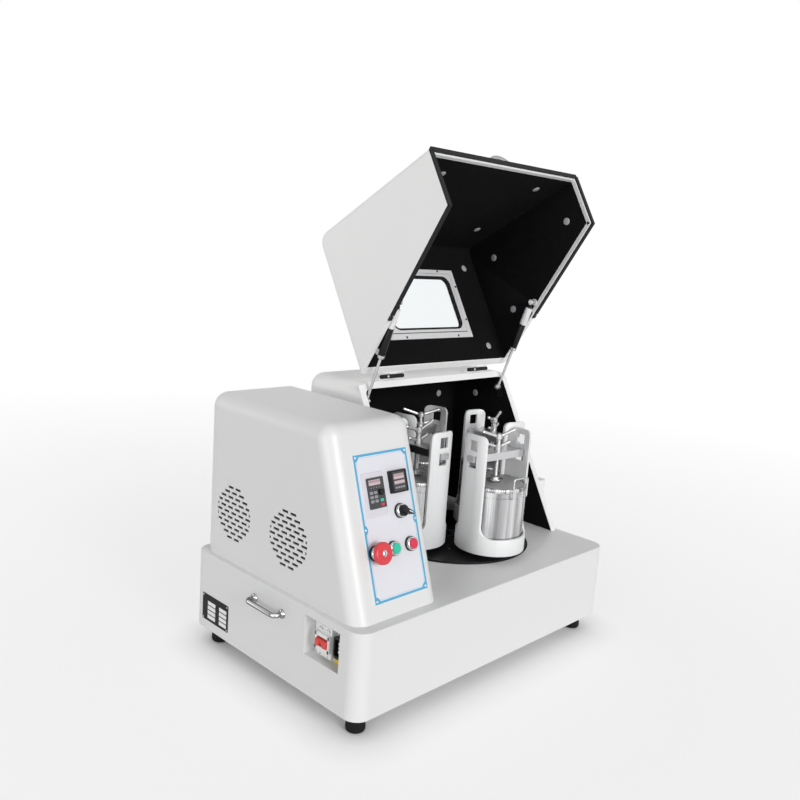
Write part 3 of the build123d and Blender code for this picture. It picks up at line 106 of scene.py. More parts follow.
HINGE = joint_point("lid_hinge")
LID_ANGLE = math.radians(JOINTS["lid_hinge"]["range_deg"][1])
SEAM_ANGLE = math.radians(61.0)
HINGE_SETBACK = 1.5
SEAM_TOP_Y = HINGE.y - HINGE_SETBACK
LID_FRONT_Y = CABINET_LOW.y + 7.5
LID_SEAL = 4.0
SEAL_STOP = 142.0
SEAL_MITRE = LID_SEAL * math.tan(SEAM_ANGLE / 2)
UP_SEAM = Vector((0.0, math.cos(SEAM_ANGLE), math.sin(SEAM_ANGLE)))
OUT_OF_LID = Vector((0.0, math.sin(SEAM_ANGLE), -math.cos(SEAM_ANGLE)))
RIM = 12.0
WINDOW_CORNER = 20.0
SHUT_TO_OPEN = Matrix.Translation(HINGE) @ Matrix.Rotation(-LID_ANGLE, 4, "X") @ Matrix.Translation(-HINGE)
PANEL_TILT = math.radians(18.5)
PANEL_FOOT = Vector(((CONTROL_LOW.x + CONTROL_HIGH.x) / 2, CONTROL_LOW.y, DECK_Z))
PANEL = Matrix.Translation(PANEL_FOOT) @ Matrix.Rotation(math.radians(90) - PANEL_TILT, 4, "X")
OVERLAY_THICKNESS = 1.2


def at(x, y, z):
    """Place moved from the origin, not turned."""
    return Matrix.Translation((x, y, z))


def on_panel(across, up, height=0.0, turn=0.0):
    """Place on the sloping panel, with Z out of it and Y up the slope."""
    return PANEL @ at(across, up, height) @ Matrix.Rotation(turn, 4, "Z")


def on_left_wall(y, z, height=0.0, wall_x=None):
    """Place on a wall that faces -X: local X runs towards the front, local Y up."""
    x = CABINET_LOW.x if wall_x is None else wall_x
    turn = Matrix(((0, 0, -1, 0), (-1, 0, 0, 0), (0, 1, 0, 0), (0, 0, 0, 1)))
    return at(x - height, y, z) @ turn


def in_lid(x, y, z):
    """Place in the lid given where it lies with the lid shut."""
    return SHUT_TO_OPEN @ at(x, y, z)


def facing(direction):
    """Rotation that turns local Z to a direction."""
    return Vector(direction).to_track_quat("Z", "Y").to_matrix().to_4x4()


def points_of(node, view=None):
    """A node's points in millimetres, as the model's axes or another view gives them."""
    points = [vert.co / MM for vert in frame["nodes"][node].data.vertices]
    return [view @ point for point in points] if view else points


def extent(points):
    """Lowest and highest corner of a group of points."""
    low = Vector([min(point[axis] for point in points) for axis in range(3)])
    high = Vector([max(point[axis] for point in points) for axis in range(3)])
    return low, high


def level_offsets(node, centre):
    """Level distances of a node's points from an upright axis, in millimetres."""
    spots = [vert.co for vert in frame["nodes"][node].data.vertices]
    return [Vector((spot.x / MM - centre.x, spot.y / MM - centre.y)) for spot in spots]


def station_place(number):
    """Place of a jar station: on its axis at z = 0, X along its crossbar, wire pull towards -Y."""
    centre = joint_point(f"holder_spin_{number}")
    bar = level_offsets(f"crossbar_{number}", centre)
    tip = max(bar, key=lambda point: point.length)
    end = [point for point in bar if (point - tip).length < 25.0 and point.length > tip.length - 0.5]
    along = sum(end, Vector((0.0, 0.0))).normalized()
    wire = [point for point in level_offsets(f"jar_{number}", centre) if point.length > JAR_RADIUS + 3.0]
    pull = sum(wire, Vector((0.0, 0.0)))
    if pull.x * along.y - pull.y * along.x < 0:
        along = -along
    return at(centre.x, centre.y, 0.0) @ Matrix.Rotation(math.atan2(along.y, along.x), 4, "Z")


# ---------------------------------------------------------------- shader building
class Wire:
    """A node socket whose values can be added, scaled and compared like numbers."""

    def __init__(self, finish, socket):
        self.finish = finish
        self.socket = socket

    def maths(self, operation, first, second=0.0, clamp=False):
        settings = {"operation": operation, "use_clamp": clamp}
        return self.finish.node("ShaderNodeMath", settings, {0: first, 1: second})

    def __add__(self, other):
        return self.maths("ADD", self, other)

    __radd__ = __add__

    def __sub__(self, other):
        return self.maths("SUBTRACT", self, other)

    def __rsub__(self, other):
        return self.maths("SUBTRACT", other, self)

    def __mul__(self, other):
        return self.maths("MULTIPLY", self, other)

    __rmul__ = __mul__

    def __pow__(self, other):
        return self.maths("POWER", self, other)

    def wave(self, frequency):
        """Sine of this value times a frequency, from 0 to 1."""
        return self.maths("SINE", self * frequency) * 0.5 + 0.5

    def held(self):
        """This value, kept between 0 and 1."""
        return self.maths("ADD", self, 0.0, clamp=True)


class Finish:
    """One material, built round a Principled shader."""

    def __init__(self, name, colour, roughness, **constants):
        self.material = bpy.data.materials.new(name)
        self.material.use_nodes = True
        self.tree = self.material.node_tree
        self.shader = self.tree.nodes["Principled BSDF"]
        self.shader.inputs["Base Color"].default_value = (*colour[:3], 1.0)
        self.shader.inputs["Roughness"].default_value = roughness
        for socket, value in constants.items():
            self.shader.inputs[socket.replace("_", " ").title().replace("Ior", "IOR")].default_value = value
        self.material.diffuse_color = (*colour[:3], 1.0)

    def node(self, kind, settings=None, inputs=None, output=0):
        """Add any node: its settings first, then the values or wires of its sockets."""
        made = self.tree.nodes.new(kind)
        for name, value in (settings or {}).items():
            if name == "stops":
                while len(made.color_ramp.elements) < len(value):
                    made.color_ramp.elements.new(0.5)
                for element, (position, shade) in zip(made.color_ramp.elements, value):
                    element.position = position
                    element.color = (shade, shade, shade, 1.0)
            else:
                setattr(made, name, value)
        for key, value in (inputs or {}).items():
            if isinstance(value, Wire):
                self.tree.links.new(value.socket, made.inputs[key])
            else:
                made.inputs[key].default_value = value
        return Wire(self, made.outputs[output])

    def feed(self, socket, wire):
        self.tree.links.new(wire.socket, self.shader.inputs[socket])
        return self

    def place(self):
        """Position in the object's own space, in metres."""
        return self.node("ShaderNodeTexCoord", output="Object")

    def stretched(self, scale):
        """Object position with each axis scaled."""
        inputs = {"Vector": self.place(), "Scale": scale}
        return self.node("ShaderNodeMapping", {"vector_type": "POINT"}, inputs)

    def parts_of(self, vector):
        """X, Y and Z of a vector as three wires."""
        split = self.node("ShaderNodeSeparateXYZ", inputs={"Vector": vector})
        node = split.socket.node
        return [Wire(self, node.outputs[axis]) for axis in ("X", "Y", "Z")]

    def grain(self, scale, detail=2.0, roughness=0.5, vector=None):
        """Noise from 0 to 1; scale is in grains for each metre."""
        inputs = {"Scale": scale, "Detail": detail, "Roughness": roughness}
        inputs["Vector"] = vector or self.place()
        return self.node("ShaderNodeTexNoise", inputs=inputs, output="Fac")

    def ramp(self, wire, *stops):
        return self.node("ShaderNodeValToRGB", {"stops": stops}, {"Fac": wire})

    def mix(self, factor, first, second):
        """Colour mix; first and second are colours or wires."""
        settings = {"data_type": "RGBA"}
        first = first if isinstance(first, Wire) else (*first[:3], 1.0)
        second = second if isinstance(second, Wire) else (*second[:3], 1.0)
        return self.node("ShaderNodeMix", settings, {0: factor, 6: first, 7: second}, output=2)

    def bump(self, height, distance, strength=1.0):
        inputs = {"Strength": strength, "Distance": distance, "Height": height}
        return self.feed("Normal", self.node("ShaderNodeBump", inputs=inputs, output="Normal"))


def shade(colour, factor):
    """A colour made lighter or darker."""
    return tuple(min(1.0, channel * factor) for channel in colour[:3])


# ---------------------------------------------------------------- mesh building
WELD = 2e-6
SHARP_ANGLE = math.radians(32)
UNMOVED = Matrix.Identity(4)


def as_object(name, mesh, finish, body):
    """Link a mesh given in millimetres as a piece that rides on a body."""
    mesh.transform(Matrix.Scale(MM, 4))
    mesh.materials.clear()
    for item in finish if isinstance(finish, (list, tuple)) else [finish]:
        mesh.materials.append(item.material)
    piece = bpy.data.objects.new(name, mesh)
    bpy.context.scene.collection.objects.link(piece)
    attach(piece, body)
    return piece


def circle(steps):
    """Cosine and sine at each step round a circle."""
    angles = [2 * math.pi * step / steps for step in range(steps)]
    return [(math.cos(angle), math.sin(angle)) for angle in angles]


class Form:
    """A mesh under construction, in millimetres, out of simple turned, cut and bent parts."""

    def __init__(self):
        self.mesh = bmesh.new()
        self.slot = 0

    def _ring(self, points):
        return [self.mesh.verts.new(point) for point in points]

    def _face(self, loop):
        face = self.mesh.faces.new(loop)
        face.material_index = self.slot
        face.smooth = True

    def _skin(self, rings, closed=False):
        """Cover the gaps between rings that have the same number of points."""
        following = rings[1:] + rings[:1] if closed else rings[1:]
        for here, there in zip(rings, following):
            for step in range(len(here)):
                nxt = (step + 1) % len(here)
                self._face([here[step], here[nxt], there[nxt], there[step]])

    def _caps(self, rings):
        self._face(rings[0][::-1])
        self._face(rings[-1])

    def _placed(self, rings, matrix):
        bmesh.ops.transform(self.mesh, matrix=matrix, verts=[vert for ring in rings for vert in ring])
        return self

    def turned(self, profile, matrix=UNMOVED, steps=48, closed=False):
        """Turn (radius, height) points about local Z; ends that aren't on the axis are capped."""
        rings = []
        for radius, height in profile:
            on_axis = radius < 1e-6
            spots = [(0.0, 0.0)] if on_axis else [(radius * cos, radius * sin) for cos, sin in circle(steps)]
            rings.append(self._ring((x, y, height) for x, y in spots))
        pairs = list(zip(rings, rings[1:]))
        if closed:
            pairs.append((rings[-1], rings[0]))
        for low, high in pairs:
            for step in range(steps):
                nxt = (step + 1) % steps
                lower = low[step % len(low)], low[nxt % len(low)]
                upper = high[nxt % len(high)], high[step % len(high)]
                loop = list(dict.fromkeys(lower + upper))
                if len(loop) > 2:
                    self._face(loop)
        if not closed:
            for ring, order in ((rings[0], -1), (rings[-1], 1)):
                if len(ring) > 1:
                    self._face(ring[::order])
        return self._placed(rings, matrix)

    def prism(self, outline, low, high, matrix=UNMOVED, bevel=0.0):
        """Extrude an (x, y) outline between two heights, with its upper edges cut back by bevel."""
        count = len(outline)
        levels = [(low, 0.0), (high - bevel, 0.0), (high, bevel)] if bevel else [(low, 0.0), (high, 0.0)]
        rings = []
        for height, inset in levels:
            ring = []
            for index, point in enumerate(outline):
                corner = Vector(point)
                before = (corner - Vector(outline[index - 1])).normalized()
                after = (Vector(outline[(index + 1) % count]) - corner).normalized()
                inward = Vector((-(before.y + after.y), before.x + after.x))
                inward = inward.normalized() / max(0.3, math.cos(before.angle(after, 0.0) / 2))
                spot = corner + inward * inset
                ring.append((spot.x, spot.y, height))
            rings.append(self._ring(ring))
        self._skin(rings)
        self._caps(rings)
        return self._placed(rings, matrix)

    def frame_band(self, outer, inner, low, high, matrix=UNMOVED):
        """Flat band between two outlines with the same number of points."""
        levels = (outer, low), (outer, high), (inner, high), (inner, low)
        rings = [self._ring((x, y, height) for x, y in outline) for outline, height in levels]
        self._skin(rings, closed=True)
        return self._placed(rings, matrix)

    def tube(self, points, radius, matrix=UNMOVED, steps=16, round_ends=True):
        """Round bar along points; radius is one number or one for each point."""
        path = [Vector(point) for point in points]
        radii = list(radius) if isinstance(radius, (list, tuple)) else [radius] * len(path)
        if round_ends:
            path, radii = rounded_ends(path, radii)
        rings = []
        side = None
        for index, point in enumerate(path):
            ahead = path[min(index + 1, len(path) - 1)] - path[max(index - 1, 0)]
            ahead.normalize()
            if side is None:
                side = ahead.orthogonal().normalized()
            side = (side - ahead * side.dot(ahead)).normalized()
            up = ahead.cross(side)
            reach = radii[index]
            rings.append(self._ring(point + (side * cos + up * sin) * reach for cos, sin in circle(steps)))
        self._skin(rings)
        self._caps(rings)
        return self._placed(rings, matrix)

    def loop(self, points, radius, matrix=UNMOVED, steps=14):
        """Closed round bead along points."""
        path = [Vector(point) for point in points]
        start, following = path[0], path[1:] + path[:1]
        normal = sum(((here - start).cross(there - start) for here, there in zip(path, following)), Vector())
        normal.normalize()
        rings = []
        for index, point in enumerate(path):
            ahead = (following[index] - path[index - 1]).normalized()
            side = ahead.cross(normal)
            rings.append(self._ring(point + (side * cos + normal * sin) * radius for cos, sin in circle(steps)))
        self._skin(rings, closed=True)
        return self._placed(rings, matrix)

    def band(self, start, stop, sideways, outwards, width, thickness):
        """Flat strip between two points that stands off a face by its thickness."""
        section = (-0.5, 0.0), (0.5, 0.0), (0.5, thickness), (-0.5, thickness)
        rings = []
        for point in (start, stop):
            spots = [point + sideways * (side * width) + outwards * rise for side, rise in section]
            rings.append(self._ring(spots))
        self._skin(rings)
        self._caps(rings)
        return self

    def ribbed(self, radius, depth, count, low, high, matrix=UNMOVED):
        """Upright grip ribs round a cylinder, with rounded ends to each rib."""
        chamfer = depth * 1.2
        rings = []
        for height, share in ((low, 0.0), (low + chamfer, 1.0), (high - chamfer, 1.0), (high, 0.0)):
            ring = []
            for step, (cos, sin) in enumerate(circle(4 * count)):
                reach = radius + (depth * share if step % 4 in (0, 1) else 0.0)
                ring.append((reach * cos, reach * sin, height))
            rings.append(self._ring(ring))
        self._skin(rings)
        return self._placed(rings, matrix)

    def threaded(self, radius, depth, pitch, low, high, matrix=UNMOVED, steps=24):
        """Helical thread with flat crests and roots between two heights."""
        shape = [(0.0, radius), (0.15, radius), (0.5, radius - depth), (0.65, radius - depth)]
        turns = int((high - low) / pitch) + 2
        columns = []
        for step, (cos, sin) in enumerate(circle(steps)):
            column = []
            for turn in range(-1, turns):
                for share, reach in shape:
                    height = low + pitch * (turn + share + step / steps)
                    column.append((reach * cos, reach * sin, min(high, max(low, height))))
            columns.append(self._ring(column))
        for step in range(steps):
            here, there = columns[step], columns[(step + 1) % steps]
            shift = 0 if step < steps - 1 else len(shape)
            for level in range(len(here) - 1 - shift):
                loop = [here[level], there[level + shift], there[level + 1 + shift], here[level + 1]]
                heights = {round(vert.co.z, 6) for vert in loop}
                if len(heights) > 1:
                    self._face(loop)
        return self._placed(columns, matrix)

    def screw_head(self, matrix, radius=3.0, cross=True):
        """Pan-head screw with a cross or slot recess; the recess is a thin dark mark on the head, painted shade
        where a cut recess would be.
        """
        rise = radius * 0.55
        profile = [(radius, 0.0), (radius, rise * 0.35), (radius * 0.86, rise * 0.75), (radius * 0.5, rise)]
        self.turned([*profile, (0.0, rise)], matrix, steps=20)
        arm, width = radius * 0.62, radius * 0.11
        recess = [(-arm, -width), (arm, -width), (arm, width), (-arm, width)]
        # The recess is not cut: a thin dark mark in the next material slot paints its shade.
        self.slot += 1
        for turn in (0.0, math.pi / 2) if cross else (0.6,):
            spun = matrix @ Matrix.Rotation(turn, 4, "Z")
            self.prism(recess, rise - 0.05, rise + 0.04, spun)
        self.slot -= 1
        return self

    def hexagon(self, matrix, across, height):
        """Bolt head with six flats and a chamfered top."""
        reach = across / math.sqrt(3)
        outline = [(reach * math.cos(math.pi * k / 3), reach * math.sin(math.pi * k / 3)) for k in range(6)]
        return self.prism(outline, 0.0, height, matrix, bevel=across * 0.06)

    def piece(self, name, finish, body, sharp=35.0):
        """Finish the mesh and link it."""
        bmesh.ops.recalc_face_normals(self.mesh, faces=self.mesh.faces[:])
        mesh = bpy.data.meshes.new(name)
        self.mesh.to_mesh(mesh)
        self.mesh.free()
        made = as_object(name, mesh, finish, body)
        mesh.set_sharp_from_angle(angle=math.radians(sharp))
        return made


def screws(name, places, radius, body="base", metal=None, cross=True):
    """Screw heads of one size, one at each place, as one piece."""
    heads = Form()
    for place in places:
        heads.screw_head(place, radius, cross)
    return heads.piece(name, ((metal or zinc)(), recess_shade()), body)


def rounded_ends(path, radii):
    """Add points that close both ends of a tube with a small dome."""
    start = (path[0] - path[1]).normalized()
    stop = (path[-1] - path[-2]).normalized()
    bends = [(0.5, 0.134), (0.866, 0.5), (0.985, 0.826)]
    front = [(path[0] + start * radii[0] * (s - 1.0), radii[0] * (1.0 - c)) for s, c in reversed(bends)]
    back = [(path[-1] + stop * radii[-1] * (s - 1.0), radii[-1] * (1.0 - c)) for s, c in bends]
    first = (path[0] - start * radii[0], radii[0])
    last = (path[-1] - stop * radii[-1], radii[-1])
    middle = list(zip(path[1:-1], radii[1:-1]))
    joined = front + [first] + middle + [last] + back
    return [point for point, _ in joined], [radius for _, radius in joined]


def rounded_box(width, height, radius, steps=6):
    """Outline of a rectangle with round corners, centred, anticlockwise."""
    outline = []
    for index, (sx, sy) in enumerate(((1, 1), (-1, 1), (-1, -1), (1, -1))):
        cx, cy = sx * (width / 2 - radius), sy * (height / 2 - radius)
        for step in range(steps + 1):
            angle = math.pi / 2 * (index + step / steps)
            outline.append((cx + radius * math.cos(angle), cy + radius * math.sin(angle)))
    return outline


def smooth_path(points, radius, steps=8):
    """Polyline with its inner corners rounded."""
    points = [Vector(point) for point in points]
    path = [points[0]]
    for before, corner, after in zip(points, points[1:], points[2:]):
        back, ahead = (before - corner).normalized(), (after - corner).normalized()
        half = back.angle(ahead) / 2
        reach = radius / math.tan(half)
        centre = corner + (back + ahead).normalized() * (radius / math.sin(half))
        start, stop = corner + back * reach - centre, corner + ahead * reach - centre
        for step in range(steps + 1):
            path.append(centre + start.slerp(stop, step / steps) * radius)
    path.append(points[-1])
    return path


def welded(node):
    """Copy of a node's mesh, and the same shape for editing with its double points joined."""
    mesh = frame["nodes"][node].data.copy()
    shape = bmesh.new()
    shape.from_mesh(mesh)
    bmesh.ops.remove_doubles(shape, verts=shape.verts[:], dist=WELD)
    return mesh, shape


def softened(node, finish, width, segments=2):
    """Copy of a node with its hard edges broken by a small bevel; it stands in for the node."""
    mesh, shape = welded(node)
    bmesh.ops.dissolve_limit(shape, angle_limit=0.01, verts=shape.verts[:], edges=shape.edges[:])
    shape.to_mesh(mesh)
    shape.free()
    rough = bpy.data.objects.new("rough", mesh)
    bpy.context.scene.collection.objects.link(rough)
    bevel = rough.modifiers.new("edges", "BEVEL")
    bevel.width = width * MM
    bevel.segments = segments
    bevel.limit_method = "ANGLE"
    bevel.angle_limit = math.radians(40)
    bevel.use_clamp_overlap = True
    bpy.context.view_layer.update()
    made = bpy.data.meshes.new_from_object(rough.evaluated_get(bpy.context.evaluated_depsgraph_get()))
    bpy.data.objects.remove(rough)
    made.transform(Matrix.Scale(1 / MM, 4))
    piece = as_object(f"{node}_edges", made, finish, frame["nodes"][node]["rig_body"])
    for face in made.polygons:
        face.use_smooth = True
    made.set_sharp_from_angle(angle=SHARP_ANGLE)
    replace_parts(piece, node)


def paint(node, finish):
    """Give a CAD node its finish."""
    slots = frame["nodes"][node].data.materials
    slots.clear()
    slots.append(finish.material)


# ---------------------------------------------------------------- properties
COLOUR = {"subtype": "COLOR", "size": 3, "min": 0.0, "max": 1.0}
LENGTH = {"subtype": "DISTANCE", "unit": "LENGTH"}


def colour_property(name, description, default):
    return bpy.props.FloatVectorProperty(name=name, description=description, default=default, **COLOUR)


def length_property(name, description, default):
    default *= MM
    return bpy.props.FloatProperty(name=name, description=description, default=default, precision=5, **LENGTH)


def strength_property(name, description, default):
    return bpy.props.FloatProperty(name=name, description=description, default=default, min=0.0)


class MillColours(bpy.types.PropertyGroup):
    """Colours of the mill's finishes."""

    enamel: colour_property("Enamel", "Powder coat on the sheet-metal covers", (0.80, 0.805, 0.80))
    hood: colour_property("Hood enamel", "Powder coat on both halves of the hood", (0.93, 0.93, 0.925))
    foam: colour_property("Foam", "Sound-deadening lining of the hood", (0.0055, 0.0055, 0.006))
    holder: colour_property("Holder", "Satin metal of the jar holders", (0.86, 0.865, 0.87))
    steel: colour_property("Steel", "Turned steel of the jars", (0.60, 0.60, 0.61))
    disc: colour_property("Disc", "Black finish of the turntable", (0.007, 0.007, 0.008))
    film: colour_property("Panel film", "Ground of the control panel's film", (0.80, 0.80, 0.855))
    border: colour_property("Panel border", "Printed border of the control panel", (0.085, 0.41, 0.66))
    start: colour_property("Start cap", "Cap of the start button", (0.03, 0.60, 0.40))
    stop: colour_property("Stop cap", "Cap of the stop button", (0.72, 0.03, 0.08))
    emergency: colour_property("Emergency head", "Mushroom head of the emergency stop", (0.74, 0.045, 0.06))
    toggle: colour_property("Breaker toggle", "Toggle of the mains breaker", (0.75, 0.06, 0.05))
    tag: colour_property("Earth tag", "Plain tag under the mains inlet", (0.85, 0.62, 0.04))


class MillSizes(bpy.types.PropertyGroup):
    """Sizes of the mill's small fittings."""

    edge: length_property("Edge", "Width of the broken edge on machined pieces", 0.6)
    thread_pitch: length_property("Thread pitch", "Pitch of the clamp screws", 2.0)
    thread_depth: length_property("Thread depth", "Depth of the clamp screws' thread", 0.7)
    liner_disc: length_property("Liner disc", "Radius of the discs that hold the lining", 7.5)
    window_screw: length_property("Window screw", "Radius of the window frame's screw heads", 2.4)
    rib_count: bpy.props.IntProperty(
        name="Rim ribs", description="Grip ribs round the rim of a jar lid", default=90, min=24, max=180
    )


class MillStage(bpy.types.PropertyGroup):
    """Light and floor of the studio."""

    floor: colour_property("Floor", "Colour of the studio floor", (0.92, 0.92, 0.92))
    key: strength_property("Front light", "Strength of the front lamp", 1.62)
    side: strength_property("Left light", "Strength of the left lamp", 0.78)
    top: strength_property("Top light", "Strength of the top lamp", 0.08)
    back: strength_property("Back light", "Strength of the rear lamp", 0.36)
    fill: strength_property("Fill", "Strength of the even surround", 0.30)
    lens: bpy.props.FloatProperty(
        name="Lens", description="Focal length of the camera", default=37.66, min=10.0, unit="CAMERA"
    )


# ---------------------------------------------------------------- finishes
def once(maker):
    """Make a finish on its first use and hand out the same one after that."""
    made = []

    def fetch():
        if not made:
            made.append(maker(bpy.context.scene.mill_colours))
        return made[0]

    return fetch


def ready(kind, name, colour, *details, **constants):
    """Finish of one kind, made on its first use; colour is a tone or the name of a user's colour."""

    def maker(colours):
        tone = getattr(colours, colour) if isinstance(colour, str) else colour
        return kind(name, tone, *details, **constants)

    return once(maker)


def powder_coat(name, colour, rough=0.36, **constants):
    """Baked powder: faint tone drift, fine orange peel."""
    coat = Finish(name, colour, rough, **constants)
    drift = coat.grain(5.0, 2.0)
    coat.feed("Base Color", coat.mix(drift, shade(colour, 0.985), shade(colour, 1.0)))
    peel = coat.grain(700.0, 1.5)
    coat.feed("Roughness", peel * 0.10 + (rough - 0.05))
    return coat.bump(peel, 0.00005, 0.30)


def upright_streaks(name, colour, coarse, low, high, metallic):
    """Bright metal whose upright bands of light and dark stand in for a room's windows."""
    metal = Finish(name, colour, 0.26, metallic=metallic)
    bands = metal.grain(coarse, 1.5, 0.5, metal.stretched((1.0, 1.0, 0.01)))
    fine = metal.grain(coarse * 6.0, 2.0, 0.6, metal.stretched((1.0, 1.0, 0.02)))
    tone = ((bands * 0.8 + fine * 0.2 - 0.36) * 3.4).held()
    metal.feed("Base Color", metal.mix(tone, shade(colour, low), shade(colour, high)))
    metal.feed("Roughness", fine * 0.14 + 0.18)
    return metal.bump(fine, 0.00002, 0.3)


def plain_metal(name, colour, rough, brush=(1.0, 1.0, 1.0), scale=500.0, spread=0.10):
    """Bare metal with brush marks stretched along one direction."""
    metal = Finish(name, colour, rough, metallic=1.0)
    marks = metal.grain(scale, 3.0, 0.6, metal.stretched(brush))
    metal.feed("Base Color", metal.mix(marks, shade(colour, 0.90), shade(colour, 1.06)))
    metal.feed("Roughness", marks * spread + (rough - spread / 2))
    return metal.bump(marks, 0.00002, 0.3)


def polished(name, colour, rough, metallic, *stops):
    """Polished metal whose base colour is painted reflection: a ramp on how far the surface turns from the eye
    gives painted highlights and dark bands, as a lit room would show in it.
    """
    metal = Finish(name, colour, rough, metallic=metallic)
    turned = metal.node("ShaderNodeLayerWeight", None, {"Blend": 0.5}, "Facing")
    # Painted highlights and painted reflections: the colour follows the facing angle, not the metal's own tone.
    metal.feed("Base Color", metal.ramp(turned, *stops))
    haze = metal.grain(240.0, 2.0)
    return metal.feed("Roughness", haze * 0.06 + (rough - 0.03))


def rubber_like(name, colour, rough):
    """Soft black material with a dusty bloom."""
    rubber = Finish(name, colour, rough, specular_ior_level=0.2)
    bloom = rubber.grain(120.0, 4.0)
    rubber.feed("Base Color", rubber.mix(bloom, shade(colour, 0.7), shade(colour, 1.7)))
    rubber.feed("Roughness", bloom * 0.15 + (rough - 0.08))
    return rubber.bump(rubber.grain(1400.0, 1.0), 0.0001, 0.3)


def moulded(name, colour, rough, sparkle=900.0, depth=0.00006, **constants):
    """Moulded plastic with a spark-eroded texture."""
    plastic = Finish(name, colour, rough, **constants)
    grit = plastic.grain(sparkle, 2.0)
    plastic.feed("Base Color", plastic.mix(grit, shade(colour, 0.90), shade(colour, 1.12)))
    plastic.feed("Roughness", grit * 0.12 + (rough - 0.06))
    return plastic.bump(grit, depth, 0.35)


NEAR_BLACK = (0.007, 0.007, 0.008)
POLISHED = (0.6, 0.6, 0.61)
# Painted reflection ramps, from facing the eye to grazing: highlights and dark bands for the chromes, painted
# shade at the turned-away edges for the nickel.
CHROME_REFLECTION_STOPS = (0.0, 0.85), (0.10, 0.80), (0.20, 0.16), (0.30, 0.75), (0.46, 0.62), (0.60, 0.10), (0.80, 0.45)
BOW_REFLECTION_STOPS = (0.0, 0.80), (0.12, 0.62), (0.24, 0.08), (0.36, 0.55), (0.52, 0.12), (0.66, 0.05), (0.85, 0.40)
NICKEL_EDGE_SHADE_STOPS = (0.0, 0.84), (0.25, 0.74), (0.50, 0.40), (0.80, 0.20)

enamel = ready(powder_coat, "white_enamel", "enamel")
hood_enamel = ready(powder_coat, "hood_enamel", "hood")
hinge_black = ready(powder_coat, "hinge_black", NEAR_BLACK, 0.42, specular_ior_level=0.2)
tube_black = ready(powder_coat, "tube_black", NEAR_BLACK, 0.30, specular_ior_level=0.25)
motor_paint = ready(powder_coat, "motor_paint", (0.07, 0.11, 0.17), 0.38)

turned_steel = ready(upright_streaks, "turned_steel", "steel", 60.0, 0.42, 1.55, 0.75)
rim_steel = ready(upright_streaks, "rim_steel", "steel", 110.0, 0.30, 1.60, 0.85)
brushed_steel = ready(plain_metal, "brushed_steel", (0.66, 0.66, 0.67), 0.30, (0.05, 1.0, 1.0))
gear_steel = ready(plain_metal, "gear_steel", (0.48, 0.48, 0.50), 0.36, (1.0, 1.0, 0.1))
dark_steel = ready(plain_metal, "dark_steel", (0.045, 0.045, 0.05), 0.35)
zinc = ready(plain_metal, "zinc_screws", (0.70, 0.70, 0.70), 0.28, scale=1500.0)
chrome = ready(polished, "bright_chrome", POLISHED, 0.10, 1.0, *CHROME_REFLECTION_STOPS)
bow_chrome = ready(polished, "bow_chrome", POLISHED, 0.10, 1.0, *BOW_REFLECTION_STOPS)
nickel = ready(polished, "satin_nickel", POLISHED, 0.24, 0.6, *NICKEL_EDGE_SHADE_STOPS)

foot_rubber = ready(rubber_like, "foot_rubber", (0.006, 0.006, 0.007), 0.72)
belt_rubber = ready(rubber_like, "belt_rubber", (0.018, 0.018, 0.018), 0.66)
gasket_rubber = ready(rubber_like, "gasket_rubber", (0.010, 0.010, 0.011), 0.50)
# Dark discs behind the vent slots: painted shade inside the slots.
filter_dark = ready(rubber_like, "filter_dark", (0.03, 0.03, 0.032), 0.85)

black_plastic = ready(moulded, "black_plastic", (0.010, 0.010, 0.011), 0.40, specular_ior_level=0.3)
plate_black = ready(moulded, "plate_black", NEAR_BLACK, 0.40, 600.0, specular_ior_level=0.15)
plate_white = ready(moulded, "plate_white", (0.88, 0.88, 0.88), 0.45, 600.0)
# Dark marks for screw recesses: painted shade.
recess_shade = ready(moulded, "recess_dark", (0.02, 0.02, 0.02), 0.55, specular_ior_level=0.2)
sleeve_white = ready(moulded, "sleeve_white", (0.86, 0.86, 0.85), 0.30)
breaker_white = ready(moulded, "breaker_white", (0.90, 0.90, 0.89), 0.38)
keypad_grey = ready(moulded, "keypad_grey", (0.73, 0.71, 0.76), 0.36)
meter_dark = ready(moulded, "meter_dark", (0.045, 0.045, 0.050), 0.34)
key_grey = ready(moulded, "key_grey", (0.30, 0.30, 0.33), 0.42)
disc_grey = ready(moulded, "disc_grey", (0.46, 0.46, 0.47), 0.45)
cast_grey = ready(moulded, "cast_grey", (0.20, 0.21, 0.22), 0.55, 260.0, 0.0003)
start_green = ready(moulded, "start_green", "start", 0.30, 500.0, 0.00003)
stop_red = ready(moulded, "stop_red", "stop", 0.30, 500.0, 0.00003)
emergency_red = ready(moulded, "emergency_red", "emergency", 0.26, 400.0, 0.00003)
toggle_red = ready(moulded, "toggle_red", "toggle", 0.32)
tag_yellow = ready(moulded, "tag_yellow", "tag", 0.42)
border_print = ready(moulded, "border_print", "border", 0.40, 1800.0, 0.00002)


@once
def border_line(colours):
    """Paler tone of the panel's border."""
    pale = tuple(0.55 * channel + 0.42 for channel in colours.border)
    return moulded("border_line", pale, 0.40, 1800.0, 0.00002)


@once
def holder_metal(colours):
    """Satin metal with long upright brush marks."""
    metal = Finish("holder_satin", colours.holder, 0.42, metallic=0.05)
    marks = metal.grain(300.0, 4.0, 0.6, metal.stretched((1.0, 1.0, 0.04)))
    metal.feed("Base Color", metal.mix(marks, shade(colours.holder, 0.94), shade(colours.holder, 1.03)))
    metal.feed("Roughness", marks * 0.14 + 0.36)
    return metal.bump(marks, 0.00004, 0.35)


@once
def frame_silver(colours):
    """Satin anodised aluminium with a faint long grain."""
    metal = Finish("frame_silver", (0.86, 0.86, 0.87), 0.34, metallic=0.1)
    marks = metal.grain(900.0, 2.0, 0.5, metal.stretched((0.04, 1.0, 1.0)))
    metal.feed("Base Color", metal.mix(marks, (0.80, 0.80, 0.81), (0.92, 0.92, 0.93)))
    metal.feed("Roughness", marks * 0.10 + 0.30)
    return metal.bump(marks, 0.00002, 0.25)


